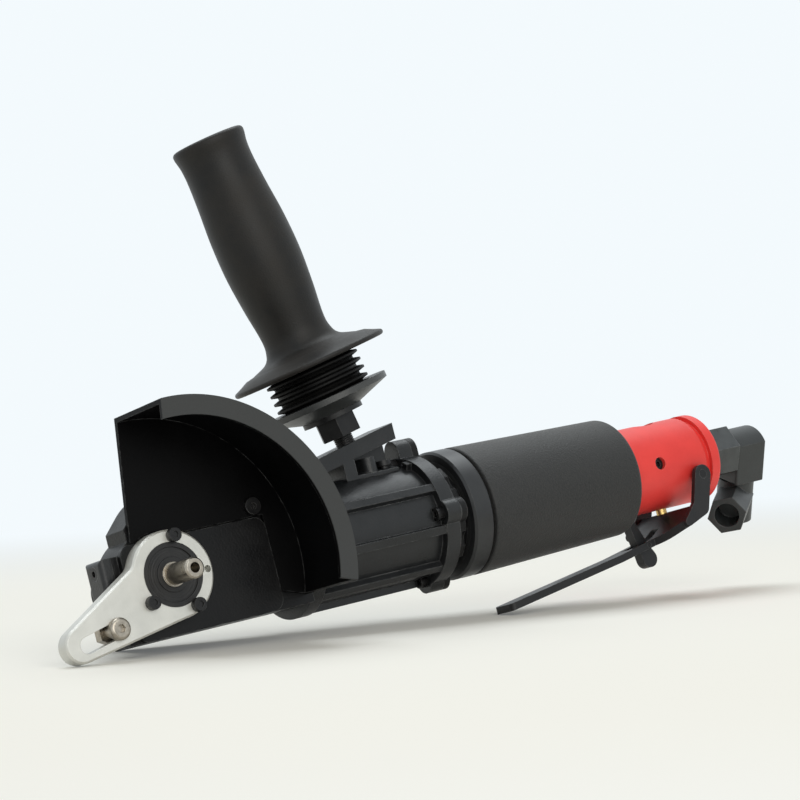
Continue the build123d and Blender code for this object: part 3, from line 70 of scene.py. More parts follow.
# Sizes of the pieces made here, in millimetres and degrees, most of them as in the solids
SLEEVE_FRONT = 160.78
SLEEVE_REAR = 243.58
SLEEVE_FRONT_RADIUS = 28.2
SLEEVE_REAR_RADIUS = 26.5
SLEEVE_BORE = 24.1
SLEEVE_FRONT_ROUND = 1.0
SLEEVE_REAR_ROUND = 2.4
HANDLE_FOOT = (113.13, 0, 39.01)
HANDLE_RAKE = 12.3
STUD_RADIUS = 4
STUD_BARE = (0.3, 3.5)
STUD_PITCH = 0.8
STUD_THREAD_SINK = 0.2
STUD_THREAD_DEPTH = 0.5
STUD_THREAD_EDGE = 0.05
STUD_THREAD_SHARE = (0.9, 0.2)
DAMPER_FOOT = 21.8
DAMPER_RADIUS = 21
DAMPER_VALLEY = 18.2
DAMPER_BORE = 4.2
DAMPER_RIBS = 4
DAMPER_ROOT = 0.5
DAMPER_FIN = (2.9, 1.0)
DAMPER_EDGE = DAMPER_FIN[1] / 3
GRIP_FOOT = 36.3
GRIP_TOP = 141.8
GRIP_FLANGE_RADIUS = 34.4
GRIP_FLANGE_ROUND = 1.2
GRIP_FLANGE_BACK = ((30.9, 3.4), (27.5, 5.0))
GRIP_BORE = 9.1
GRIP_END_RADIUS = 16.2
GRIP_END_ROUND = 1.8
GRIP_END_DISH = ((9.0, 0.0), (8.0, 0.4), (7.6, 1.6), (0.0, 1.9))
ARM_SCREW_CIRCLE = 15.5
ARM_SCREW_ANGLES = (77, -144, -63)
ARM_FACE = 32.04
ARM_SCREW_HEAD = 2.75
KNURL_RIDGES = 28
KNURL_RISE = 0.12
KNURL_SINK = 0.06
KNURL_HEIGHT = 2.5

# Height above the grip's foot and radius, from the flange to the rolled end
GRIP_SECTION = (
    (5.6, 24.0), (8.2, 17.4), (12.5, 14.9), (18, 14.4), (32, 15.9), (48, 17.1),
    (64, 16.9), (80, 15.7), (92, 15.1), (98, 15.3), (102.3, 16.1),
)

# Faces round the turned pieces and steps along their rounded edges
SLEEVE_SIDES = 160
SLEEVE_ROWS = 48
GRIP_SIDES = 128
GRIP_STEPS = 8
DAMPER_SIDES = 96
STUD_SIDES = 40
FRONT_ROUND_STEPS = 6
REAR_ROUND_STEPS = 10

# Points of a mesh that are closer than this become one, in millimetres
MERGE_DISTANCE = 1e-5

# Depth of the bump in the finishes, in metres
GRAIN_DEPTH = 0.0004
LINE_DEPTH = 0.0002
CELL_DEPTH = 0.0005
# Width of the painted highlight along a foremost edge, in metres
PAINTED_RIM_DEPTH = 0.0003

# Camera, measured in the tool's own frame
CAMERA_PLACE = (-527.87, -1001.92, -40.94)
CAMERA_RIGHT = (0.81476, -0.52464, -0.24681)
CAMERA_UP = (0.16359, -0.20039, 0.96596)
CAMERA_LENS = 126
CAMERA_SENSOR = 36
CAMERA_RANGE = (0.05, 50)

# Stage: tones, the pale table and the lamps, in metres and watts
BACKGROUND = (0.90, 0.955, 0.985, 1)
FLOOR_TONE = (0.92, 0.92, 0.89, 1)
FLOOR_LIGHT_TONE = (0.94, 0.94, 0.91, 1)
AMBIENT_TONE = (1, 0.93, 0.78, 1)
AMBIENT_STRENGTH = 0.34
STAGE_MIDDLE = (0.14, 0.03)
FLOOR_RADIUS = 4.0
FLOOR_SIDES = 96
FADE_START = 0.30
FADE_END = 1.15
FADE_LEAST = 0.12
OVERHEAD_PLACE = (0.20, 0.35, 1.30)
OVERHEAD_AIM = (0.14, 0.03, 0.0)
OVERHEAD_SIZE = (1.3, 1.0)
OVERHEAD_POWER = 12.5
OVERHEAD_TONE = (0.93, 0.98, 1.0)
FILL_PLACE = (-0.30, -1.45, 0.65)
FILL_AIM = (0.14, 0.03, 0.05)
FILL_SIZE = (1.3, 1.1)
FILL_POWER = 11
FILL_TONE = (1.0, 0.97, 0.90)


# Shader groups


def new_group(name, inputs, outputs):
    """Shader group with float or vector inputs and float outputs."""
    group = bpy.data.node_groups.new(name, "ShaderNodeTree")
    for label, kind, value in inputs:
        socket = group.interface.new_socket(label, in_out="INPUT", socket_type=kind)
        if value is not None:
            socket.default_value = value
    for label in outputs:
        group.interface.new_socket(label, in_out="OUTPUT", socket_type="NodeSocketFloat")
    entry = group.nodes.new("NodeGroupInput")
    leave = group.nodes.new("NodeGroupOutput")
    return group, entry, leave


def put(tree, kind, links=(), **values):
    """Adds a node, sets its properties, and links sockets given as (input, output)."""
    node = tree.nodes.new(kind)
    for key, value in values.items():
        setattr(node, key, value)
    for target, source in links:
        if isinstance(source, (int, float, tuple)):
            node.inputs[target].default_value = source
        else:
            tree.links.new(source, node.inputs[target])
    return node


def grain_group():
    """Fine grain: soft noise and small dimples."""
    group, entry, leave = new_group(
        "Fine grain",
        [("Vector", "NodeSocketVector", None), ("Size", "NodeSocketFloat", 900.0)],
        ["Height"],
    )
    place, size = entry.outputs["Vector"], entry.outputs["Size"]
    noise = put(
        group, "ShaderNodeTexNoise", [("Vector", place), ("Scale", size), ("Detail", 3.0)]
    )
    dimple = put(group, "ShaderNodeTexVoronoi", [("Vector", place), ("Scale", size)])
    both = put(
        group,
        "ShaderNodeMath",
        [(0, noise.outputs["Fac"]), (1, dimple.outputs["Distance"])],
        operation="ADD",
    )
    half = put(group, "ShaderNodeMath", [(0, both.outputs[0]), (1, 0.5)], operation="MULTIPLY")
    group.links.new(half.outputs[0], leave.inputs["Height"])
    return group


def smudge_group():
    """Broad uneven patches from handling and casting."""
    group, entry, leave = new_group(
        "Smudges",
        [("Vector", "NodeSocketVector", None), ("Size", "NodeSocketFloat", 40.0)],
        ["Mask"],
    )
    noise = put(
        group,
        "ShaderNodeTexNoise",
        [
            ("Vector", entry.outputs["Vector"]),
            ("Scale", entry.outputs["Size"]),
            ("Detail", 6.0),
            ("Roughness", 0.62),
        ],
    )
    spread = put(
        group,
        "ShaderNodeMapRange",
        [("Value", noise.outputs["Fac"]), ("From Min", 0.32), ("From Max", 0.68)],
    )
    group.links.new(spread.outputs["Result"], leave.inputs["Mask"])
    return group


def edge_group():
    """Mask along sharp edges, broken up, for lighter edges that are part rubbed paint and part painted highlight.
    """
    group, entry, leave = new_group(
        "Edge wear",
        [("Vector", "NodeSocketVector", None), ("Width", "NodeSocketFloat", 0.0006)],
        ["Mask"],
    )
    bevel = put(group, "ShaderNodeBevel", [("Radius", entry.outputs["Width"])], samples=4)
    shape = put(group, "ShaderNodeNewGeometry")
    along = put(
        group,
        "ShaderNodeVectorMath",
        [(0, bevel.outputs["Normal"]), (1, shape.outputs["Normal"])],
        operation="DOT_PRODUCT",
    )
    edge = put(
        group,
        "ShaderNodeMapRange",
        [("Value", along.outputs["Value"]), ("From Min", 0.995), ("From Max", 0.86)],
    )
    noise = put(
        group,
        "ShaderNodeTexNoise",
        [("Vector", entry.outputs["Vector"]), ("Scale", 260.0), ("Detail", 4.0)],
    )
    broken = put(
        group,
        "ShaderNodeMapRange",
        [("Value", noise.outputs["Fac"]), ("From Min", 0.38), ("From Max", 0.62)],
    )
    mask = put(
        group,
        "ShaderNodeMath",
        [(0, edge.outputs["Result"]), (1, broken.outputs["Result"])],
        operation="MULTIPLY",
    )
    group.links.new(mask.outputs[0], leave.inputs["Mask"])
    return group


def turning_group():
    """Fine uneven lines along one coordinate, as a lathe leaves them."""
    group, entry, leave = new_group(
        "Turning marks",
        [("Place", "NodeSocketFloat", 0.0), ("Lines", "NodeSocketFloat", 3000.0)],
        ["Height"],
    )
    scaled = put(
        group,
        "ShaderNodeMath",
        [(0, entry.outputs["Place"]), (1, entry.outputs["Lines"])],
        operation="MULTIPLY",
    )
    noise = put(
        group,
        "ShaderNodeTexNoise",
        [("W", scaled.outputs[0]), ("Scale", 1.0), ("Detail", 2.0)],
        noise_dimensions="1D",
    )
    group.links.new(noise.outputs["Fac"], leave.inputs["Height"])
    return group


def cell_group():
    """Closed foam cells: small rounded pits with thin walls."""
    group, entry, leave = new_group(
        "Foam cells",
        [("Vector", "NodeSocketVector", None), ("Size", "NodeSocketFloat", 1500.0)],
        ["Height", "Mask"],
    )
    place, size = entry.outputs["Vector"], entry.outputs["Size"]
    cells = put(
        group, "ShaderNodeTexVoronoi", [("Vector", place), ("Scale", size)], feature="SMOOTH_F1"
    )
    patches = put(
        group, "ShaderNodeTexNoise", [("Vector", place), ("Scale", size), ("Detail", 5.0)]
    )
    height = put(
        group,
        "ShaderNodeMath",
        [(0, cells.outputs["Distance"]), (1, patches.outputs["Fac"])],
        operation="MULTIPLY",
    )
    mask = put(
        group,
        "ShaderNodeMapRange",
        [("Value", patches.outputs["Fac"]), ("From Min", 0.35), ("From Max", 0.7)],
    )
    group.links.new(height.outputs[0], leave.inputs["Height"])
    group.links.new(mask.outputs["Result"], leave.inputs["Mask"])
    return group


GRAIN = grain_group()
SMUDGES = smudge_group()
EDGE_WEAR_AND_HIGHLIGHT = edge_group()
TURNING = turning_group()
CELLS = cell_group()


# Finishes


def new_finish(name):
    """New material; returns it, its tree, its Principled BSDF and the Object coordinates."""
    material = bpy.data.materials.new(name)
    material.use_nodes = True
    tree = material.node_tree
    shader = tree.nodes["Principled BSDF"]
    place = put(tree, "ShaderNodeTexCoord").outputs["Object"]
    return material, tree, shader, place


def use_group(tree, group, links):
    """Places a shader group in a material."""
    return put(tree, "ShaderNodeGroup", links, node_tree=group)


def mix_colour(tree, mask, first, second):
    """Mixes two colours by a mask."""
    node = tree.nodes.new("ShaderNodeMix")
    node.data_type = "RGBA"
    sockets = [socket for socket in node.inputs if socket.type == "RGBA"]
    for socket, source in zip(sockets, (first, second)):
        if isinstance(source, tuple):
            socket.default_value = source
        else:
            tree.links.new(source, socket)
    tree.links.new(mask, node.inputs[0])
    return next(socket for socket in node.outputs if socket.type == "RGBA")


def tool_place(tree, place):
    """Object coordinates turned into the tool's own frame, in metres."""
    node = put(tree, "ShaderNodeMapping", [("Vector", place)])
    node.inputs["Location"].default_value = tool_inverse.translation
    node.inputs["Rotation"].default_value = tool_inverse.to_euler("XYZ")
    return node.outputs["Vector"]


def finish(
    name, dark, light, rough, metallic=0.0, grain=(900.0, 0.15), smudge=45.0,
    wear_and_highlight=None, round_edges=0.0004, specular=0.5, lines=None, sheen=0.0, front=None,
):
    """Painted, cast, machined or moulded finish with grain, smudges and lighter edges that are part rubbed paint,
    part painted highlight.

    rough is the least and greatest roughness, grain the scale and strength of the bump,
    smudge the scale of the patches, wear the width and colour of the lighter edges (rubbed
    paint and painted highlight), round_edges the radius that sharp edges are shaded with,
    lines the lathe lines: 'motor', 'spindle' or 'face', their count to the metre and their
    strength, front the place along the spindle of a foremost edge and the colour of a
    painted highlight along it.
    """
    material, tree, shader, place = new_finish(name)
    patches = use_group(tree, SMUDGES, [("Vector", place), ("Size", smudge)]).outputs["Mask"]
    colour = mix_colour(tree, patches, (*dark, 1), (*light, 1))
    # Lighter sharp edges: part rubbed paint, part painted highlight
    if wear_and_highlight:
        edges = use_group(tree, EDGE_WEAR_AND_HIGHLIGHT, [("Vector", place), ("Width", wear_and_highlight[0])]).outputs["Mask"]
        colour = mix_colour(tree, edges, colour, (*wear_and_highlight[1], 1))
    # Painted highlight: a lighter colour along the foremost edge of the part
    if front:
        depth = put(tree, "ShaderNodeSeparateXYZ", [("Vector", tool_place(tree, place))]).outputs["Y"]
        rim_end = front[0] + PAINTED_RIM_DEPTH
        painted_rim_highlight = put(
            tree,
            "ShaderNodeMapRange",
            [("Value", depth), ("From Min", rim_end + PAINTED_RIM_DEPTH), ("From Max", rim_end)],
        ).outputs["Result"]
        colour = mix_colour(tree, painted_rim_highlight, colour, (*front[1], 1))
    tree.links.new(colour, shader.inputs["Base Color"])
    gloss = put(
        tree,
        "ShaderNodeMapRange",
        [("Value", patches), ("To Min", rough[0]), ("To Max", rough[1])],
    )
    tree.links.new(gloss.outputs["Result"], shader.inputs["Roughness"])
    shader.inputs["Metallic"].default_value = metallic
    shader.inputs["Specular IOR Level"].default_value = specular
    shader.inputs["Sheen Weight"].default_value = sheen
    normal = put(tree, "ShaderNodeBevel", [("Radius", round_edges)], samples=4).outputs["Normal"]
    if lines:
        axes = put(tree, "ShaderNodeSeparateXYZ", [("Vector", tool_place(tree, place))]).outputs
        along = axes["X"] if lines[0] == "motor" else axes["Y"]
        if lines[0] == "face":
            flat = put(tree, "ShaderNodeCombineXYZ", [("X", axes["X"]), ("Y", axes["Z"])])
            along = put(
                tree, "ShaderNodeVectorMath", [(0, flat.outputs[0])], operation="LENGTH"
            ).outputs["Value"]
        marks = use_group(tree, TURNING, [("Place", along), ("Lines", lines[1])])
        normal = put(
            tree,
            "ShaderNodeBump",
            [
                ("Height", marks.outputs["Height"]),
                ("Strength", lines[2]),
                ("Distance", LINE_DEPTH),
                ("Normal", normal),
            ],
        ).outputs["Normal"]
    fine = use_group(tree, GRAIN, [("Vector", place), ("Size", grain[0])]).outputs["Height"]
    bump = put(
        tree,
        "ShaderNodeBump",
        [("Height", fine), ("Strength", grain[1]), ("Distance", GRAIN_DEPTH), ("Normal", normal)],
    )
    tree.links.new(bump.outputs["Normal"], shader.inputs["Normal"])
    return material


def foam_finish():
    """Dense dark foam with fine closed cells and a dry, slightly dusty surface."""
    material, tree, shader, place = new_finish("grip foam")
    cells = use_group(tree, CELLS, [("Vector", place), ("Size", 1500.0)])
    patches = use_group(tree, SMUDGES, [("Vector", place), ("Size", 30.0)]).outputs["Mask"]
    ground = mix_colour(tree, patches, (0.009, 0.0095, 0.010, 1), (0.015, 0.0155, 0.016, 1))
    colour = mix_colour(tree, cells.outputs["Mask"], ground, (0.030, 0.031, 0.032, 1))
    tree.links.new(colour, shader.inputs["Base Color"])
    gloss = put(
        tree,
        "ShaderNodeMapRange",
        [("Value", cells.outputs["Mask"]), ("To Min", 0.50), ("To Max", 0.70)],
    )
    tree.links.new(gloss.outputs["Result"], shader.inputs["Roughness"])
    shader.inputs["Specular IOR Level"].default_value = 0.36
    shader.inputs["Sheen Weight"].default_value = 0.10
    shader.inputs["Sheen Roughness"].default_value = 0.5
    bump = put(
        tree,
        "ShaderNodeBump",
        [("Height", cells.outputs["Height"]), ("Strength", 0.55), ("Distance", CELL_DEPTH)],
    )
    tree.links.new(bump.outputs["Normal"], shader.inputs["Normal"])
    return material


# Colour of lighter edges on dark parts: rubbed paint and painted highlight
RUBBED_AND_LIT_EDGE = (0.11, 0.115, 0.12)
guard_front = min((tool_inverse @ corner.co).y for corner in nodes["wheel_guard"].data.vertices)
finishes = {
    "cast_dark": finish(
        "cast dark grey", (0.006, 0.007, 0.008), (0.014, 0.015, 0.017), (0.26, 0.42),
        grain=(1100.0, 0.22), smudge=60.0, wear_and_highlight=(0.0007, RUBBED_AND_LIT_EDGE), round_edges=0.0007, specular=0.4,
    ),
    # Near-black guard paint, darkened as painted shade for the inside of the guard
    "guard_dark": finish(
        "guard paint with painted shade", (0.0012, 0.0012, 0.0014), (0.0028, 0.0028, 0.0032), (0.42, 0.55),
        grain=(1600.0, 0.12), smudge=25.0, wear_and_highlight=(0.0005, RUBBED_AND_LIT_EDGE), specular=0.08,
        # Painted highlight along the guard's foremost edge
        front=(guard_front, (0.060, 0.064, 0.068)),
    ),
    # Darker copy of the cast paint: painted shade on the gear head under the guard and in the gap before the
    # collar
    "head_shaded_paint": finish(
        "gear head paint with painted shade", (0.0022, 0.0022, 0.0026), (0.0055, 0.0055, 0.006), (0.30, 0.44),
        grain=(1100.0, 0.22), smudge=60.0, wear_and_highlight=(0.0007, RUBBED_AND_LIT_EDGE), round_edges=0.0007, specular=0.22,
    ),
    "arm_silver": finish(
        "blasted aluminium", (0.56, 0.56, 0.53), (0.66, 0.66, 0.63), (0.40, 0.52), metallic=0.6,
        grain=(2400.0, 0.12), smudge=70.0, wear_and_highlight=(0.0004, (0.88, 0.88, 0.85)),
    ),
    "steel": finish(
        "turned steel", (0.50, 0.50, 0.48), (0.66, 0.65, 0.62), (0.18, 0.30), metallic=1.0,
        grain=(1800.0, 0.05), smudge=90.0, lines=("spindle", 5200.0, 0.25),
    ),
    # Steel tinted brown as a painted reflection of the tan table
    "tan_reflection_steel": finish(
        "steel with painted tan reflection", (0.26, 0.23, 0.19), (0.44, 0.40, 0.34), (0.24, 0.40), metallic=1.0,
        grain=(1800.0, 0.08), smudge=260.0, wear_and_highlight=(0.0003, (0.72, 0.69, 0.64)),
        lines=("spindle", 5200.0, 0.2),
    ),
    "black_steel": finish(
        "blackened steel", (0.006, 0.006, 0.007), (0.014, 0.014, 0.015), (0.30, 0.44),
        metallic=0.2, grain=(2000.0, 0.08), smudge=120.0, wear_and_highlight=(0.0003, (0.16, 0.16, 0.16)),
        specular=0.35,
    ),
    "bearing": finish(
        "bearing seal", (0.012, 0.012, 0.013), (0.026, 0.026, 0.027), (0.34, 0.48),
        metallic=0.1, grain=(1700.0, 0.08), smudge=110.0, lines=("face", 1500.0, 0.5),
        specular=0.35,
    ),
    "gear_alloy": finish(
        "machined gear steel", (0.32, 0.32, 0.31), (0.44, 0.44, 0.43), (0.24, 0.36), metallic=1.0,
        grain=(1500.0, 0.06), smudge=80.0, wear_and_highlight=(0.0004, (0.6, 0.6, 0.58)),
    ),
    "rubber": finish(
        "moulded rubber", (0.005, 0.005, 0.005), (0.016, 0.014, 0.012), (0.40, 0.56),
        grain=(1400.0, 0.14), smudge=50.0, specular=0.26, sheen=0.02,
    ),
    "bellows": finish(
        "bellows rubber", (0.003, 0.003, 0.003), (0.007, 0.007, 0.007), (0.44, 0.58),
        grain=(1400.0, 0.10), smudge=70.0, specular=0.15,
    ),
    "disc": finish(
        "pressed disc", (0.026, 0.028, 0.029), (0.042, 0.045, 0.046), (0.34, 0.46),
        grain=(1500.0, 0.08), smudge=60.0, wear_and_highlight=(0.0004, RUBBED_AND_LIT_EDGE),
    ),
    "core": finish("moulded core", (0.05, 0.05, 0.05), (0.08, 0.08, 0.08), (0.5, 0.6)),
    "foam": foam_finish(),
    "collar": finish(
        "smooth collar", (0.014, 0.015, 0.017), (0.024, 0.026, 0.028), (0.30, 0.40),
        grain=(1800.0, 0.06), smudge=40.0, lines=("motor", 2600.0, 0.10), specular=0.45,
    ),
    "tube": finish(
        "motor tube", (0.03, 0.031, 0.033), (0.05, 0.052, 0.055), (0.35, 0.45), metallic=0.4,
        grain=(1500.0, 0.08), smudge=50.0, lines=("motor", 2400.0, 0.15),
    ),
    "plate": finish(
        "machined plate", (0.42, 0.42, 0.41), (0.55, 0.55, 0.54), (0.28, 0.40), metallic=1.0,
        grain=(1400.0, 0.06), smudge=80.0, lines=("face", 3000.0, 0.2),
    ),
    "vane": finish("fibre resin", (0.16, 0.10, 0.05), (0.24, 0.16, 0.08), (0.45, 0.6)),
    "red": finish(
        "red anodised", (0.74, 0.038, 0.034), (0.86, 0.056, 0.050), (0.38, 0.50),
        grain=(1700.0, 0.06), smudge=45.0, wear_and_highlight=(0.0004, (0.85, 0.22, 0.20)),
        lines=("motor", 3400.0, 0.12),
    ),
    "lever_dark": finish(
        "lever paint", (0.006, 0.006, 0.007), (0.014, 0.014, 0.015), (0.36, 0.50),
        grain=(1300.0, 0.12), smudge=60.0, wear_and_highlight=(0.0005, RUBBED_AND_LIT_EDGE), specular=0.35,
    ),
    "brass": finish(
        "turned brass", (0.55, 0.36, 0.13), (0.68, 0.48, 0.20), (0.22, 0.34), metallic=1.0,
        grain=(1500.0, 0.06), smudge=80.0, lines=("motor", 3800.0, 0.2),
    ),
    "dark_nickel": finish(
        "dark nickel", (0.060, 0.064, 0.066), (0.100, 0.106, 0.108), (0.26, 0.38), metallic=0.7,
        grain=(1700.0, 0.06), smudge=70.0, wear_and_highlight=(0.0004, (0.3, 0.3, 0.3)),
    ),
    "swivel_dark": finish(
        "swivel coating", (0.018, 0.021, 0.022), (0.030, 0.034, 0.036), (0.36, 0.48),
        grain=(1200.0, 0.16), smudge=55.0, wear_and_highlight=(0.0006, RUBBED_AND_LIT_EDGE), round_edges=0.0008,
    ),
}
OWN_FINISH = {
    # Painted shade on the gear head and the motor adapter
    "gear_head": "head_shaded_paint",
    "motor_adapter": "head_shaded_paint",
    "damper_plate": "disc",
    "guard_screw": "black_steel",
    "bracket_screws": "black_steel",
    "latch_pin": "black_steel",
    # Painted tan reflection on the spindle, the slot screw and its nut
    "spindle": "tan_reflection_steel",
    "slot_screw": "tan_reflection_steel",
    "slot_nut": "tan_reflection_steel",
}
node_slots = {entry["node"]: entry["material_slot"] for entry in record["subparts"]}
for label, slot in node_slots.items():
    skin = nodes[label].data.materials
    skin.clear()
    skin.append(finishes[OWN_FINISH.get(label, slot)])


# Pieces made here


def finished_piece(name, mesh, slot, body, replaced=()):
    """Links a finished mesh as a piece that rides on a body."""
    piece = bpy.data.objects.new(name, mesh)
    bpy.context.scene.collection.objects.link(piece)
    if not mesh.materials:
        mesh.materials.append(finishes[slot])
    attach(piece, body)
    if replaced:
        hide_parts(*replaced)
    return piece


def turned_mesh(name, outline, segments, placing, closed=False):
    """Surface of revolution about the local Z axis from (radius, height) pairs in millimetres."""
    mesh = bpy.data.meshes.new(name)
    build = bmesh.new()
    rings = []
    for radius, height in outline:
        ring = []
        for index in range(segments):
            angle = 2 * math.pi * index / segments
            ring.append(
                build.verts.new((radius * math.cos(angle), radius * math.sin(angle), height))
            )
        rings.append(ring)
    pairs = list(zip(rings, rings[1:]))
    if closed:
        pairs.append((rings[-1], rings[0]))
    for low, high in pairs:
        for index in range(segments):
            after = (index + 1) % segments
            build.faces.new((low[index], low[after], high[after], high[index]))
    bmesh.ops.remove_doubles(build, verts=build.verts, dist=MERGE_DISTANCE)
    bmesh.ops.recalc_face_normals(build, faces=build.faces)
    build.to_mesh(mesh)
    build.free()
    mesh.transform(placing @ scale_mm)
    mesh.shade_smooth()
    return mesh


def arc(centre, radius, start, end, steps):
    """Points on an arc in a half section, by angles in degrees."""
    points = []
    for index in range(steps + 1):
        angle = math.radians(start + (end - start) * index / steps)
        points.append(
            (centre[0] + radius * math.cos(angle), centre[1] + radius * math.sin(angle))
        )
    return points


def blend_curve(places, steps):
    """Smooth curve through (height, radius) places."""
    points = []
    for index in range(len(places) - 1):
        before = places[max(index - 1, 0)]
        start, end = places[index], places[index + 1]
        after = places[min(index + 2, len(places) - 1)]
        span = end[0] - start[0]
        slope_start = (end[1] - before[1]) / (end[0] - before[0])
        slope_end = (after[1] - start[1]) / (after[0] - start[0])
        for step in range(steps):
            share = step / steps
            first = (1 + 2 * share) * (1 - share) ** 2
            second = share * (1 - share) ** 2 * span
            third = share**2 * (3 - 2 * share)
            fourth = share**2 * (share - 1) * span
            radius = first * start[1] + second * slope_start + third * end[1] + fourth * slope_end
            points.append((radius, start[0] + share * span))
    points.append((places[-1][1], places[-1][0]))
    return points


# The motor axis and the handle axis as local Z axes
motor_axis = tool_frame @ Matrix.Rotation(math.radians(90), 4, "Y")
rake = Matrix.Rotation(math.radians(-HANDLE_RAKE), 4, "Y")
handle_axis = tool_frame @ Matrix.Translation(Vector(HANDLE_FOOT) * MM) @ rake

# Foam sleeve on the motor tube
sleeve_run = SLEEVE_REAR - SLEEVE_FRONT - SLEEVE_FRONT_ROUND - SLEEVE_REAR_ROUND
sleeve_outline = [(SLEEVE_BORE, SLEEVE_FRONT)]
sleeve_outline += arc(
    (SLEEVE_FRONT_RADIUS - SLEEVE_FRONT_ROUND, SLEEVE_FRONT + SLEEVE_FRONT_ROUND),
    SLEEVE_FRONT_ROUND, -90, 0, FRONT_ROUND_STEPS,
)
for row in range(1, SLEEVE_ROWS):
    share = row / SLEEVE_ROWS
    sleeve_outline.append(
        (
            SLEEVE_FRONT_RADIUS + (SLEEVE_REAR_RADIUS - SLEEVE_FRONT_RADIUS) * share,
            SLEEVE_FRONT + SLEEVE_FRONT_ROUND + sleeve_run * share,
        )
    )
sleeve_outline += arc(
    (SLEEVE_REAR_RADIUS - SLEEVE_REAR_ROUND, SLEEVE_REAR - SLEEVE_REAR_ROUND),
    SLEEVE_REAR_ROUND, 0, 90, REAR_ROUND_STEPS,
)
sleeve_outline.append((SLEEVE_BORE, SLEEVE_REAR))
sleeve = finished_piece(
    "foam_sleeve", turned_mesh("foam_sleeve", sleeve_outline, SLEEVE_SIDES, motor_axis, closed=True),
    "foam", "housing", ["grip_sleeve"],
)

# Rubber grip of the side handle: flange, waist, belly, neck and a rolled end
grip_outline = [(GRIP_BORE, GRIP_FOOT), (GRIP_FLANGE_RADIUS - GRIP_FLANGE_ROUND, GRIP_FOOT)]
grip_outline += arc(
    (GRIP_FLANGE_RADIUS - GRIP_FLANGE_ROUND, GRIP_FOOT + GRIP_FLANGE_ROUND),
    GRIP_FLANGE_ROUND, -90, 60, GRIP_STEPS,
)
grip_outline += [(radius, GRIP_FOOT + height) for radius, height in GRIP_FLANGE_BACK]
grip_outline += blend_curve(
    [(GRIP_FOOT + height, radius) for height, radius in GRIP_SECTION], GRIP_STEPS
)
grip_outline += arc(
    (GRIP_END_RADIUS - GRIP_END_ROUND, GRIP_TOP - GRIP_END_ROUND),
    GRIP_END_ROUND, 0, 90, GRIP_STEPS,
)
grip_outline += [(radius, GRIP_TOP - sink) for radius, sink in GRIP_END_DISH]
finished_piece(
    "rubber_grip", turned_mesh("rubber_grip", grip_outline, GRIP_SIDES, handle_axis),
    "rubber", "housing", ["handle_grip"],
)


# Repeated forms by Geometry Nodes


def new_tree(name, inputs):
    """Geometry Nodes tree with named inputs; returns it, its input and its output."""
    tree = bpy.data.node_groups.new(name, "GeometryNodeTree")
    tree.interface.new_socket("Geometry", in_out="INPUT", socket_type="NodeSocketGeometry")
    for label, kind, value in inputs:
        socket = tree.interface.new_socket(label, in_out="INPUT", socket_type=kind)
        if value is not None:
            socket.default_value = value
    tree.interface.new_socket("Geometry", in_out="OUTPUT", socket_type="NodeSocketGeometry")
    entry = tree.nodes.new("NodeGroupInput")
    leave = tree.nodes.new("NodeGroupOutput")
    return tree, entry.outputs, leave.inputs["Geometry"]


def end_tree(tree, geometry, material, leave, smooth):
    """Ends a tree in Realize Instances, smooth shading if asked for, and Set Material."""
    last = put(tree, "GeometryNodeRealizeInstances", [("Geometry", geometry)])
    if smooth:
        last = put(tree, "GeometryNodeSetShadeSmooth", [("Geometry", last.outputs[0])])
    coat = put(
        tree, "GeometryNodeSetMaterial", [("Geometry", last.outputs[0]), ("Material", material)]
    )
    tree.links.new(coat.outputs[0], leave)


def rib_tree():
    """Rings of tapered section with rounded edges, stacked along Z at a steady pitch."""
    tree, entry, leave = new_tree(
        "Stacked ribs",
        [
            ("Count", "NodeSocketInt", 4),
            ("Pitch", "NodeSocketFloat", 3.0),
            ("Root radius", "NodeSocketFloat", 18.0),
            ("Depth", "NodeSocketFloat", 3.0),
            ("Root width", "NodeSocketFloat", 2.4),
            ("Tip width", "NodeSocketFloat", 1.0),
            ("Edge radius", "NodeSocketFloat", 0.3),
            ("Sides", "NodeSocketInt", 96),
            ("Material", "NodeSocketMaterial", None),
        ],
    )
    step = put(tree, "ShaderNodeCombineXYZ", [("Z", entry["Pitch"])])
    line = put(
        tree, "GeometryNodeMeshLine", [("Count", entry["Count"]), ("Offset", step.outputs[0])]
    )
    reach = put(tree, "ShaderNodeMath", [(0, entry["Depth"]), (1, 0.5)], operation="MULTIPLY")
    middle = put(
        tree, "ShaderNodeMath", [(0, entry["Root radius"]), (1, reach.outputs[0])], operation="ADD"
    )
    loop = put(
        tree,
        "GeometryNodeCurvePrimitiveCircle",
        [("Resolution", entry["Sides"]), ("Radius", middle.outputs[0])],
    )
    taper = put(
        tree,
        "GeometryNodeCurvePrimitiveQuadrilateral",
        [
            ("Height", entry["Depth"]),
            ("Bottom Width", entry["Root width"]),
            ("Top Width", entry["Tip width"]),
            ("Offset", 0.0),
        ],
        mode="TRAPEZOID",
    )
    section = put(
        tree,
        "GeometryNodeFilletCurve",
        [
            ("Curve", taper.outputs["Curve"]),
            ("Count", 4),
            ("Radius", entry["Edge radius"]),
            ("Limit Radius", True),
        ],
        mode="POLY",
    )
    outward = put(
        tree,
        "GeometryNodeTransform",
        [("Geometry", section.outputs["Curve"]), ("Rotation", (0.0, 0.0, -math.pi / 2))],
    )
    ring = put(
        tree,
        "GeometryNodeCurveToMesh",
        [("Curve", loop.outputs["Curve"]), ("Profile Curve", outward.outputs[0])],
    )
    copies = put(
        tree,
        "GeometryNodeInstanceOnPoints",
        [("Points", line.outputs["Mesh"]), ("Instance", ring.outputs["Mesh"])],
    )
    end_tree(tree, copies.outputs["Instances"], entry["Material"], leave, smooth=True)
    return tree


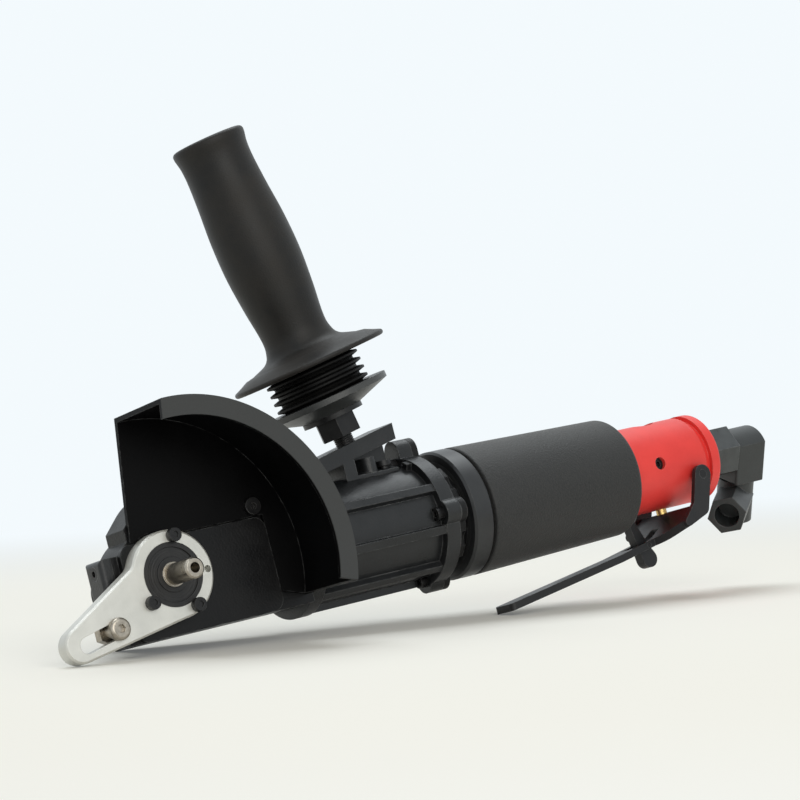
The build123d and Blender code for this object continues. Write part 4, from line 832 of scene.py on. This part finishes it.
def knurl_tree():
    """Star-shaped band round each point's screw head."""
    tree, entry, leave = new_tree(
        "Knurled bands",
        [
            ("Ridges", "NodeSocketInt", 28),
            ("Outer radius", "NodeSocketFloat", 2.86),
            ("Inner radius", "NodeSocketFloat", 2.70),
            ("Height", "NodeSocketFloat", 2.5),
            ("Material", "NodeSocketMaterial", None),
        ],
    )
    star = put(
        tree,
        "GeometryNodeCurveStar",
        [
            ("Points", entry["Ridges"]),
            ("Inner Radius", entry["Inner radius"]),
            ("Outer Radius", entry["Outer radius"]),
        ],
    )
    fill = put(
        tree, "GeometryNodeFillCurve", [("Curve", star.outputs["Curve"])], mode="NGONS"
    )
    rise = put(
        tree,
        "GeometryNodeExtrudeMesh",
        [("Mesh", fill.outputs["Mesh"]), ("Offset Scale", entry["Height"]), ("Individual", False)],
    )
    copies = put(
        tree,
        "GeometryNodeInstanceOnPoints",
        [("Points", entry["Geometry"]), ("Instance", rise.outputs["Mesh"])],
    )
    end_tree(tree, copies.outputs["Instances"], entry["Material"], leave, smooth=False)
    return tree


def grown_mesh(name, tree, values, placing, points=((0, 0, 0),)):
    """Runs a Geometry Nodes tree on a few points and returns the result as a plain mesh."""
    seed = bpy.data.meshes.new(name)
    seed.from_pydata(points, [], [])
    carrier = bpy.data.objects.new(name, seed)
    bpy.context.scene.collection.objects.link(carrier)
    modifier = carrier.modifiers.new(name, "NODES")
    modifier.node_group = tree
    for item in tree.interface.items_tree:
        if item.item_type == "SOCKET" and item.in_out == "INPUT" and item.name in values:
            modifier[item.identifier] = values[item.name]
    bpy.context.view_layer.update()
    graph = bpy.context.evaluated_depsgraph_get()
    mesh = bpy.data.meshes.new_from_object(carrier.evaluated_get(graph))
    carrier.modifiers.remove(modifier)
    bpy.data.objects.remove(carrier)
    build = bmesh.new()
    build.from_mesh(mesh)
    bmesh.ops.remove_doubles(build, verts=build.verts, dist=MERGE_DISTANCE)
    bmesh.ops.recalc_face_normals(build, faces=build.faces)
    build.to_mesh(mesh)
    build.free()
    mesh.transform(placing @ scale_mm)
    return mesh


RIBS = rib_tree()
KNURLS = knurl_tree()

# Bellows of the damper: thin fins on a core
damper_length = GRIP_FOOT - DAMPER_FOOT
rib_pitch = damper_length / DAMPER_RIBS
bellows = grown_mesh(
    "damper_bellows",
    RIBS,
    {
        "Count": DAMPER_RIBS, "Pitch": rib_pitch, "Root radius": DAMPER_VALLEY - DAMPER_ROOT,
        "Depth": DAMPER_RADIUS - DAMPER_VALLEY + DAMPER_ROOT, "Root width": DAMPER_FIN[0],
        "Tip width": DAMPER_FIN[1], "Edge radius": DAMPER_EDGE, "Sides": DAMPER_SIDES,
        "Material": finishes["bellows"],
    },
    handle_axis @ Matrix.Translation((0, 0, (DAMPER_FOOT + rib_pitch / 2) * MM)),
)
bellows_core = turned_mesh(
    "bellows_core",
    [
        (DAMPER_BORE, DAMPER_FOOT), (DAMPER_VALLEY, DAMPER_FOOT),
        (DAMPER_VALLEY, GRIP_FOOT), (DAMPER_BORE, GRIP_FOOT),
    ],
    DAMPER_SIDES, handle_axis, closed=True,
)
finished_piece("damper_bellows", bellows, "bellows", "housing", ["handle_damper"])
finished_piece("damper_core", bellows_core, "bellows", "housing")

# Thread on the bare stretch of the handle's stud
thread_count = int((STUD_BARE[1] - STUD_BARE[0]) / STUD_PITCH)
thread = grown_mesh(
    "stud_thread",
    RIBS,
    {
        "Count": thread_count, "Pitch": STUD_PITCH, "Root radius": STUD_RADIUS - STUD_THREAD_SINK,
        "Depth": STUD_THREAD_DEPTH, "Root width": STUD_PITCH * STUD_THREAD_SHARE[0],
        "Tip width": STUD_PITCH * STUD_THREAD_SHARE[1], "Edge radius": STUD_THREAD_EDGE,
        "Sides": STUD_SIDES, "Material": finishes["black_steel"],
    },
    handle_axis @ Matrix.Translation((0, 0, (STUD_BARE[0] + STUD_PITCH / 2) * MM)),
)
finished_piece("stud_thread", thread, "black_steel", "housing")

# Knurled heads of the screws in the arm's ring
face_out = Matrix.Rotation(math.radians(90), 4, "X")
arm_screws = [
    (
        ARM_SCREW_CIRCLE * math.cos(math.radians(angle)),
        ARM_SCREW_CIRCLE * math.sin(math.radians(angle)),
        ARM_FACE,
    )
    for angle in ARM_SCREW_ANGLES
]
knurls = grown_mesh(
    "arm_screw_knurls",
    KNURLS,
    {
        "Ridges": KNURL_RIDGES, "Outer radius": ARM_SCREW_HEAD + KNURL_RISE,
        "Inner radius": ARM_SCREW_HEAD - KNURL_SINK, "Height": KNURL_HEIGHT,
        "Material": finishes["black_steel"],
    },
    tool_frame @ face_out,
    points=arm_screws,
)
finished_piece("arm_screw_knurls", knurls, "black_steel", "housing")


# Stage


def seen_rays(tree):
    """One on rays from the camera, straight, mirrored or through something clear, else zero."""
    ray = put(tree, "ShaderNodeLightPath").outputs
    either = put(
        tree, "ShaderNodeMath", [(0, ray["Is Camera Ray"]), (1, ray["Is Glossy Ray"])], operation="ADD"
    )
    every = put(
        tree, "ShaderNodeMath", [(0, either.outputs[0]), (1, ray["Is Transmission Ray"])],
        operation="ADD", use_clamp=True,
    )
    return every.outputs[0]


floor_mesh = bpy.data.meshes.new("floor")
build = bmesh.new()
bmesh.ops.create_circle(build, cap_ends=True, radius=FLOOR_RADIUS, segments=FLOOR_SIDES)
build.to_mesh(floor_mesh)
build.free()
floor = bpy.data.objects.new("floor", floor_mesh)
floor.location = (*STAGE_MIDDLE, cad_box[0].z)
bpy.context.scene.collection.objects.link(floor)

floor_material = bpy.data.materials.new("pale table")
floor_material.use_nodes = True
tree = floor_material.node_tree
tree.nodes.remove(tree.nodes["Principled BSDF"])
place = put(tree, "ShaderNodeTexCoord").outputs["Object"]
distance = put(tree, "ShaderNodeVectorMath", [(0, place)], operation="LENGTH").outputs["Value"]
fade = put(
    tree,
    "ShaderNodeMapRange",
    [("Value", distance), ("From Min", FADE_START), ("From Max", FADE_END), ("To Min", FADE_LEAST)],
    interpolation_type="SMOOTHSTEP",
).outputs["Result"]
seen = seen_rays(tree)
share = put(tree, "ShaderNodeMath", [(0, seen), (1, fade)], operation="MULTIPLY")
paper = put(tree, "ShaderNodeTexNoise", [("Vector", place), ("Scale", 3.0), ("Detail", 4.0)])
paper_tone = mix_colour(tree, paper.outputs["Fac"], FLOOR_TONE, FLOOR_LIGHT_TONE)
diffuse = put(tree, "ShaderNodeBsdfDiffuse", [("Color", paper_tone)])
glow = put(tree, "ShaderNodeEmission", [("Color", BACKGROUND), ("Strength", 1.0)])
blend = put(
    tree,
    "ShaderNodeMixShader",
    [(0, share.outputs[0]), (1, diffuse.outputs[0]), (2, glow.outputs[0])],
)
tree.links.new(blend.outputs[0], tree.nodes["Material Output"].inputs["Surface"])
floor_mesh.materials.append(floor_material)

world = bpy.data.worlds.new("studio")
world.use_nodes = True
bpy.context.scene.world = world
tree = world.node_tree
seen = seen_rays(tree)
backdrop = put(tree, "ShaderNodeBackground", [("Color", BACKGROUND), ("Strength", 1.0)])
ambient = put(
    tree, "ShaderNodeBackground", [("Color", AMBIENT_TONE), ("Strength", AMBIENT_STRENGTH)]
)
both = put(
    tree,
    "ShaderNodeMixShader",
    [(0, seen), (1, ambient.outputs[0]), (2, backdrop.outputs[0])],
)
tree.links.new(both.outputs[0], tree.nodes["World Output"].inputs["Surface"])


def soft_box(name, place, target, size, power, tone):
    """Area light that faces a target."""
    lamp = bpy.data.lights.new(name, "AREA")
    lamp.shape = "RECTANGLE"
    lamp.size, lamp.size_y = size
    lamp.energy = power
    lamp.color = tone
    holder = bpy.data.objects.new(name, lamp)
    holder.location = place
    aim = Vector(target) - Vector(place)
    holder.rotation_mode = "QUATERNION"
    holder.rotation_quaternion = aim.to_track_quat("-Z", "Y")
    bpy.context.scene.collection.objects.link(holder)


soft_box("overhead", OVERHEAD_PLACE, OVERHEAD_AIM, OVERHEAD_SIZE, OVERHEAD_POWER, OVERHEAD_TONE)
soft_box("front_fill", FILL_PLACE, FILL_AIM, FILL_SIZE, FILL_POWER, FILL_TONE)

bpy.context.scene.view_settings.view_transform = "Standard"

lens = bpy.data.cameras.new("camera")
lens.lens = CAMERA_LENS
lens.sensor_width = CAMERA_SENSOR
lens.clip_start, lens.clip_end = CAMERA_RANGE
camera = bpy.data.objects.new("camera", lens)
right, up = Vector(CAMERA_RIGHT), Vector(CAMERA_UP)
pose = Matrix((right, up, right.cross(up))).transposed().to_4x4()
pose.translation = Vector(CAMERA_PLACE) * MM
camera.matrix_world = tool_frame @ pose
bpy.context.scene.collection.objects.link(camera)
bpy.context.scene.camera = camera

bpy.context.view_layer.update()
